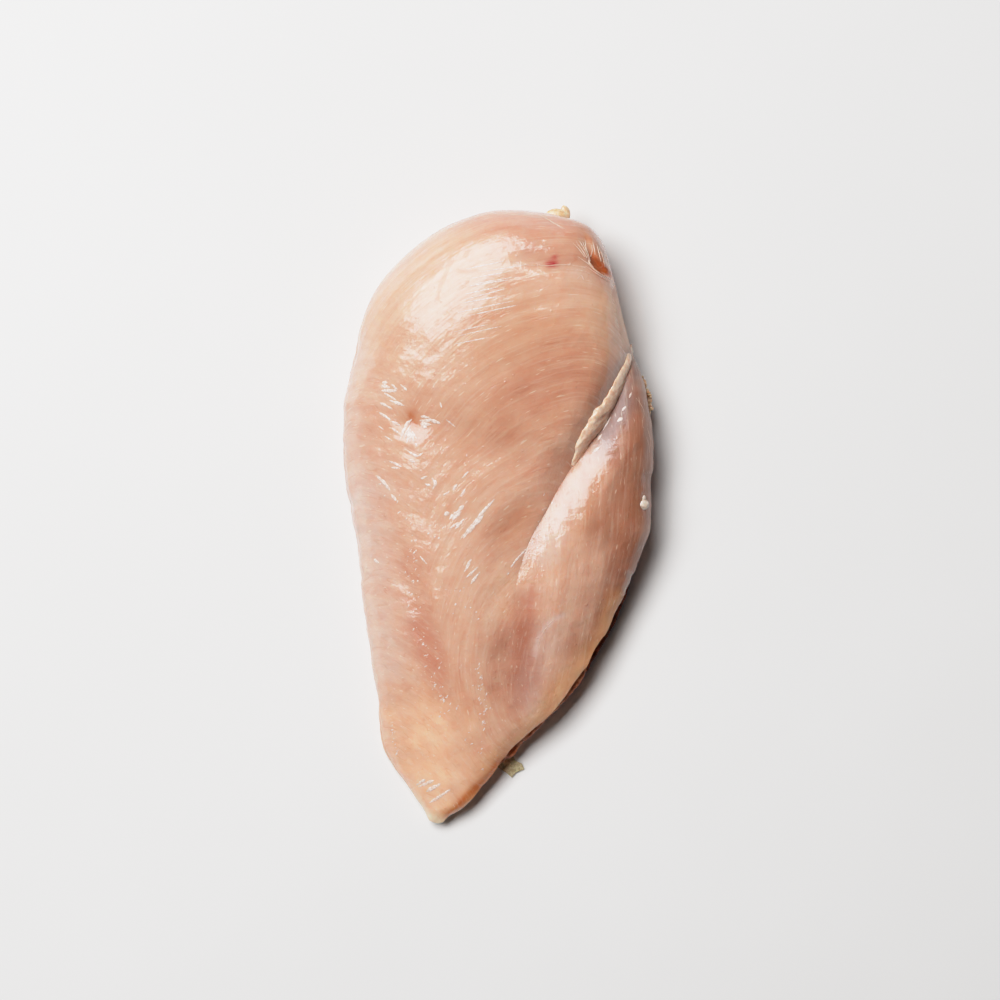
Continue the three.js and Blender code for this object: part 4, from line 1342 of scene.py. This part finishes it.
def light_the_scene():
    """A dim sky and two softboxes that point at the middle of the piece."""
    world = bpy.data.worlds.new("soft_sky")
    world.use_nodes = True
    background = world.node_tree.nodes["Background"]
    background.inputs["Color"].default_value = SKY
    background.inputs["Strength"].default_value = SKY_STRENGTH
    bpy.context.scene.world = world
    for name, (turn, rise, size, power, tone, mirrored) in SOFTBOXES.items():
        turn, rise = math.radians(turn), math.radians(rise)
        away = Vector((math.cos(turn) * math.cos(rise), math.sin(turn) * math.cos(rise),
                       math.sin(rise)))
        light = bpy.data.lights.new(name, "AREA")
        light.shape = "RECTANGLE"
        light.size, light.size_y = size
        light.energy = power
        light.color = tone
        lamp = in_scene(name, light)
        lamp.location = away * SOFTBOX_AWAY
        lamp.rotation_euler = away.to_track_quat("Z", "Y").to_euler()
        lamp.visible_glossy = mirrored
        lamp.visible_diffuse = not mirrored


def aim_the_camera():
    """A camera straight above, so high that the picture is PICTURE_WIDTH wide at its level."""
    data = bpy.data.cameras.new("camera")
    data.lens = LENS
    data.clip_start = NEAREST_SEEN
    camera = in_scene("camera", data)
    height = PICTURE_WIDTH * LENS / data.sensor_width + PICTURE_LEVEL
    camera.location = (PICTURE_CENTRE[0] * MM, PICTURE_CENTRE[1] * MM, height * MM)
    camera.rotation_euler = (0, 0, math.radians(PICTURE_ROLL))
    bpy.context.scene.camera = camera


def set_the_tones():
    """Bright light is rolled off softly, as film does."""
    settings = bpy.context.scene.view_settings
    settings.view_transform = "Standard"
    settings.use_curve_mapping = True
    mapping = settings.curve_mapping
    mapping.white_level = (WHITE_LEVEL,) * 3
    combined = mapping.curves[3]
    for level, seen in ROLL_OFF:
        combined.points.new(level / WHITE_LEVEL, seen)
    mapping.update()


# The meat
moisture = wet_group()
meat = meat_material(fibre_group(), moisture)
breast = breast_piece(meat)
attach(breast, BODY)
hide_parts(NODE)

# What lies on the meat or looks out from under it, each piece with the slot of its finish
fat = tissue_material("soft_fat", (250, 220, 196), (238, 188, 156), moisture, grain=0.8, depth=0.12)
yellow_fat = tissue_material("yellow_fat", (240, 210, 172), (226, 176, 134), moisture)
gristle = tissue_material("white_gristle", (230, 212, 196), (206, 182, 162), moisture)
membrane = tissue_material("membrane", (234, 200, 182), (222, 178, 154), moisture)
film = tissue_material("wet_film", (230, 216, 176), (212, 192, 144), moisture, alpha=0.6)
# Near-white glossy tissue for the ribbons: painted glints
painted_glint = tissue_material("painted_glint_tissue", (255, 242, 234), (255, 228, 214), moisture,
                           roughness=0.12, subsurface=0.0, alpha=0.7, grain=1.8, depth=0.05,
                           gloss=0.9)
torn = tissue_material("torn_meat", (228, 144, 98), (180, 90, 50), moisture, roughness=0.4,
                       grain=0.8, depth=0.25, gloss=0.3)
# Near black-brown tissue for the strip under the right rim: painted shadow
dark = tissue_material("painted_shadow_meat", (136, 60, 34), (84, 34, 18), moisture, roughness=0.7,
                       grain=0.6, depth=0.2, gloss=0.1)

skin = BVHTree.FromPolygons(vertex_places(breast), [face.vertices for face in breast.data.polygons])
# Ribbons of painted glints, laid on the skin
glint_ribbon_paths = [ribbon_path(skin, *ribbon) for ribbon in (*GLINT_RIBBONS, *strewn_glints())]
glint_ribbon_settings = {"Material": painted_glint, "Sides": PATH_SIDES, "Unit": MM,
                   "Flatness": RIBBON_FLATNESS}
thread_settings = {"Material": membrane, "Sides": PATH_SIDES, "Unit": MM}
threads = thread_tree()
grains_path = np.column_stack([FAT_GRAINS_PATH, np.ones(len(FAT_GRAINS_PATH))])
small_pieces = [
    ("fat", strip_piece("fat_strip", on_meat(FAT_STRIP, FAT_STRIP_SUNK), fat, facing,
                        flatness=0.36, ragged=0.2, lumpy=0.12, seed=11)),
    ("meat", strip_piece("torn_layer", TORN_LAYER, torn, upright,
                         flatness=0.4, ragged=0.2, lumpy=0.08, seed=12)),
    # The dark strip under the right rim: painted shadow
    ("meat", strip_piece("painted_shadow_strip", RIM_SHADOW_STRIP, dark, upright,
                         flatness=0.3, ragged=0.06, lumpy=0.03, seed=13)),
    # The white ribbons: painted glints
    ("membrane", grown_piece("painted_glint_ribbons", glint_ribbon_paths, ribbon_tree(), glint_ribbon_settings)),
    ("fat", lump_piece("fat_nub", NUB, yellow_fat, roughness=0.12, grain=1.0)),
    ("fat", lump_piece("fat_crumbs", CRUMBS, yellow_fat)),
    ("fat", lump_piece("tip_fat", TIP_FAT, fat)),
    ("fat", grown_piece("crumb_grains", [grains_path], fat_grain_tree(),
                        {"Material": yellow_fat} | FAT_GRAINS)),
    ("membrane", lump_piece("gristle_nodule", NODULE, gristle, roughness=0.1)),
    ("membrane", film_piece(film)),
]
for name, lines in THREADS.items():
    paths = [thread_path(line) for line in lines]
    small_pieces.append(("membrane", grown_piece(name, paths, threads, thread_settings)))
for slot, piece in small_pieces:
    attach(piece, BODY)

lay_the_floor()
light_the_scene()
aim_the_camera()
set_the_tones()
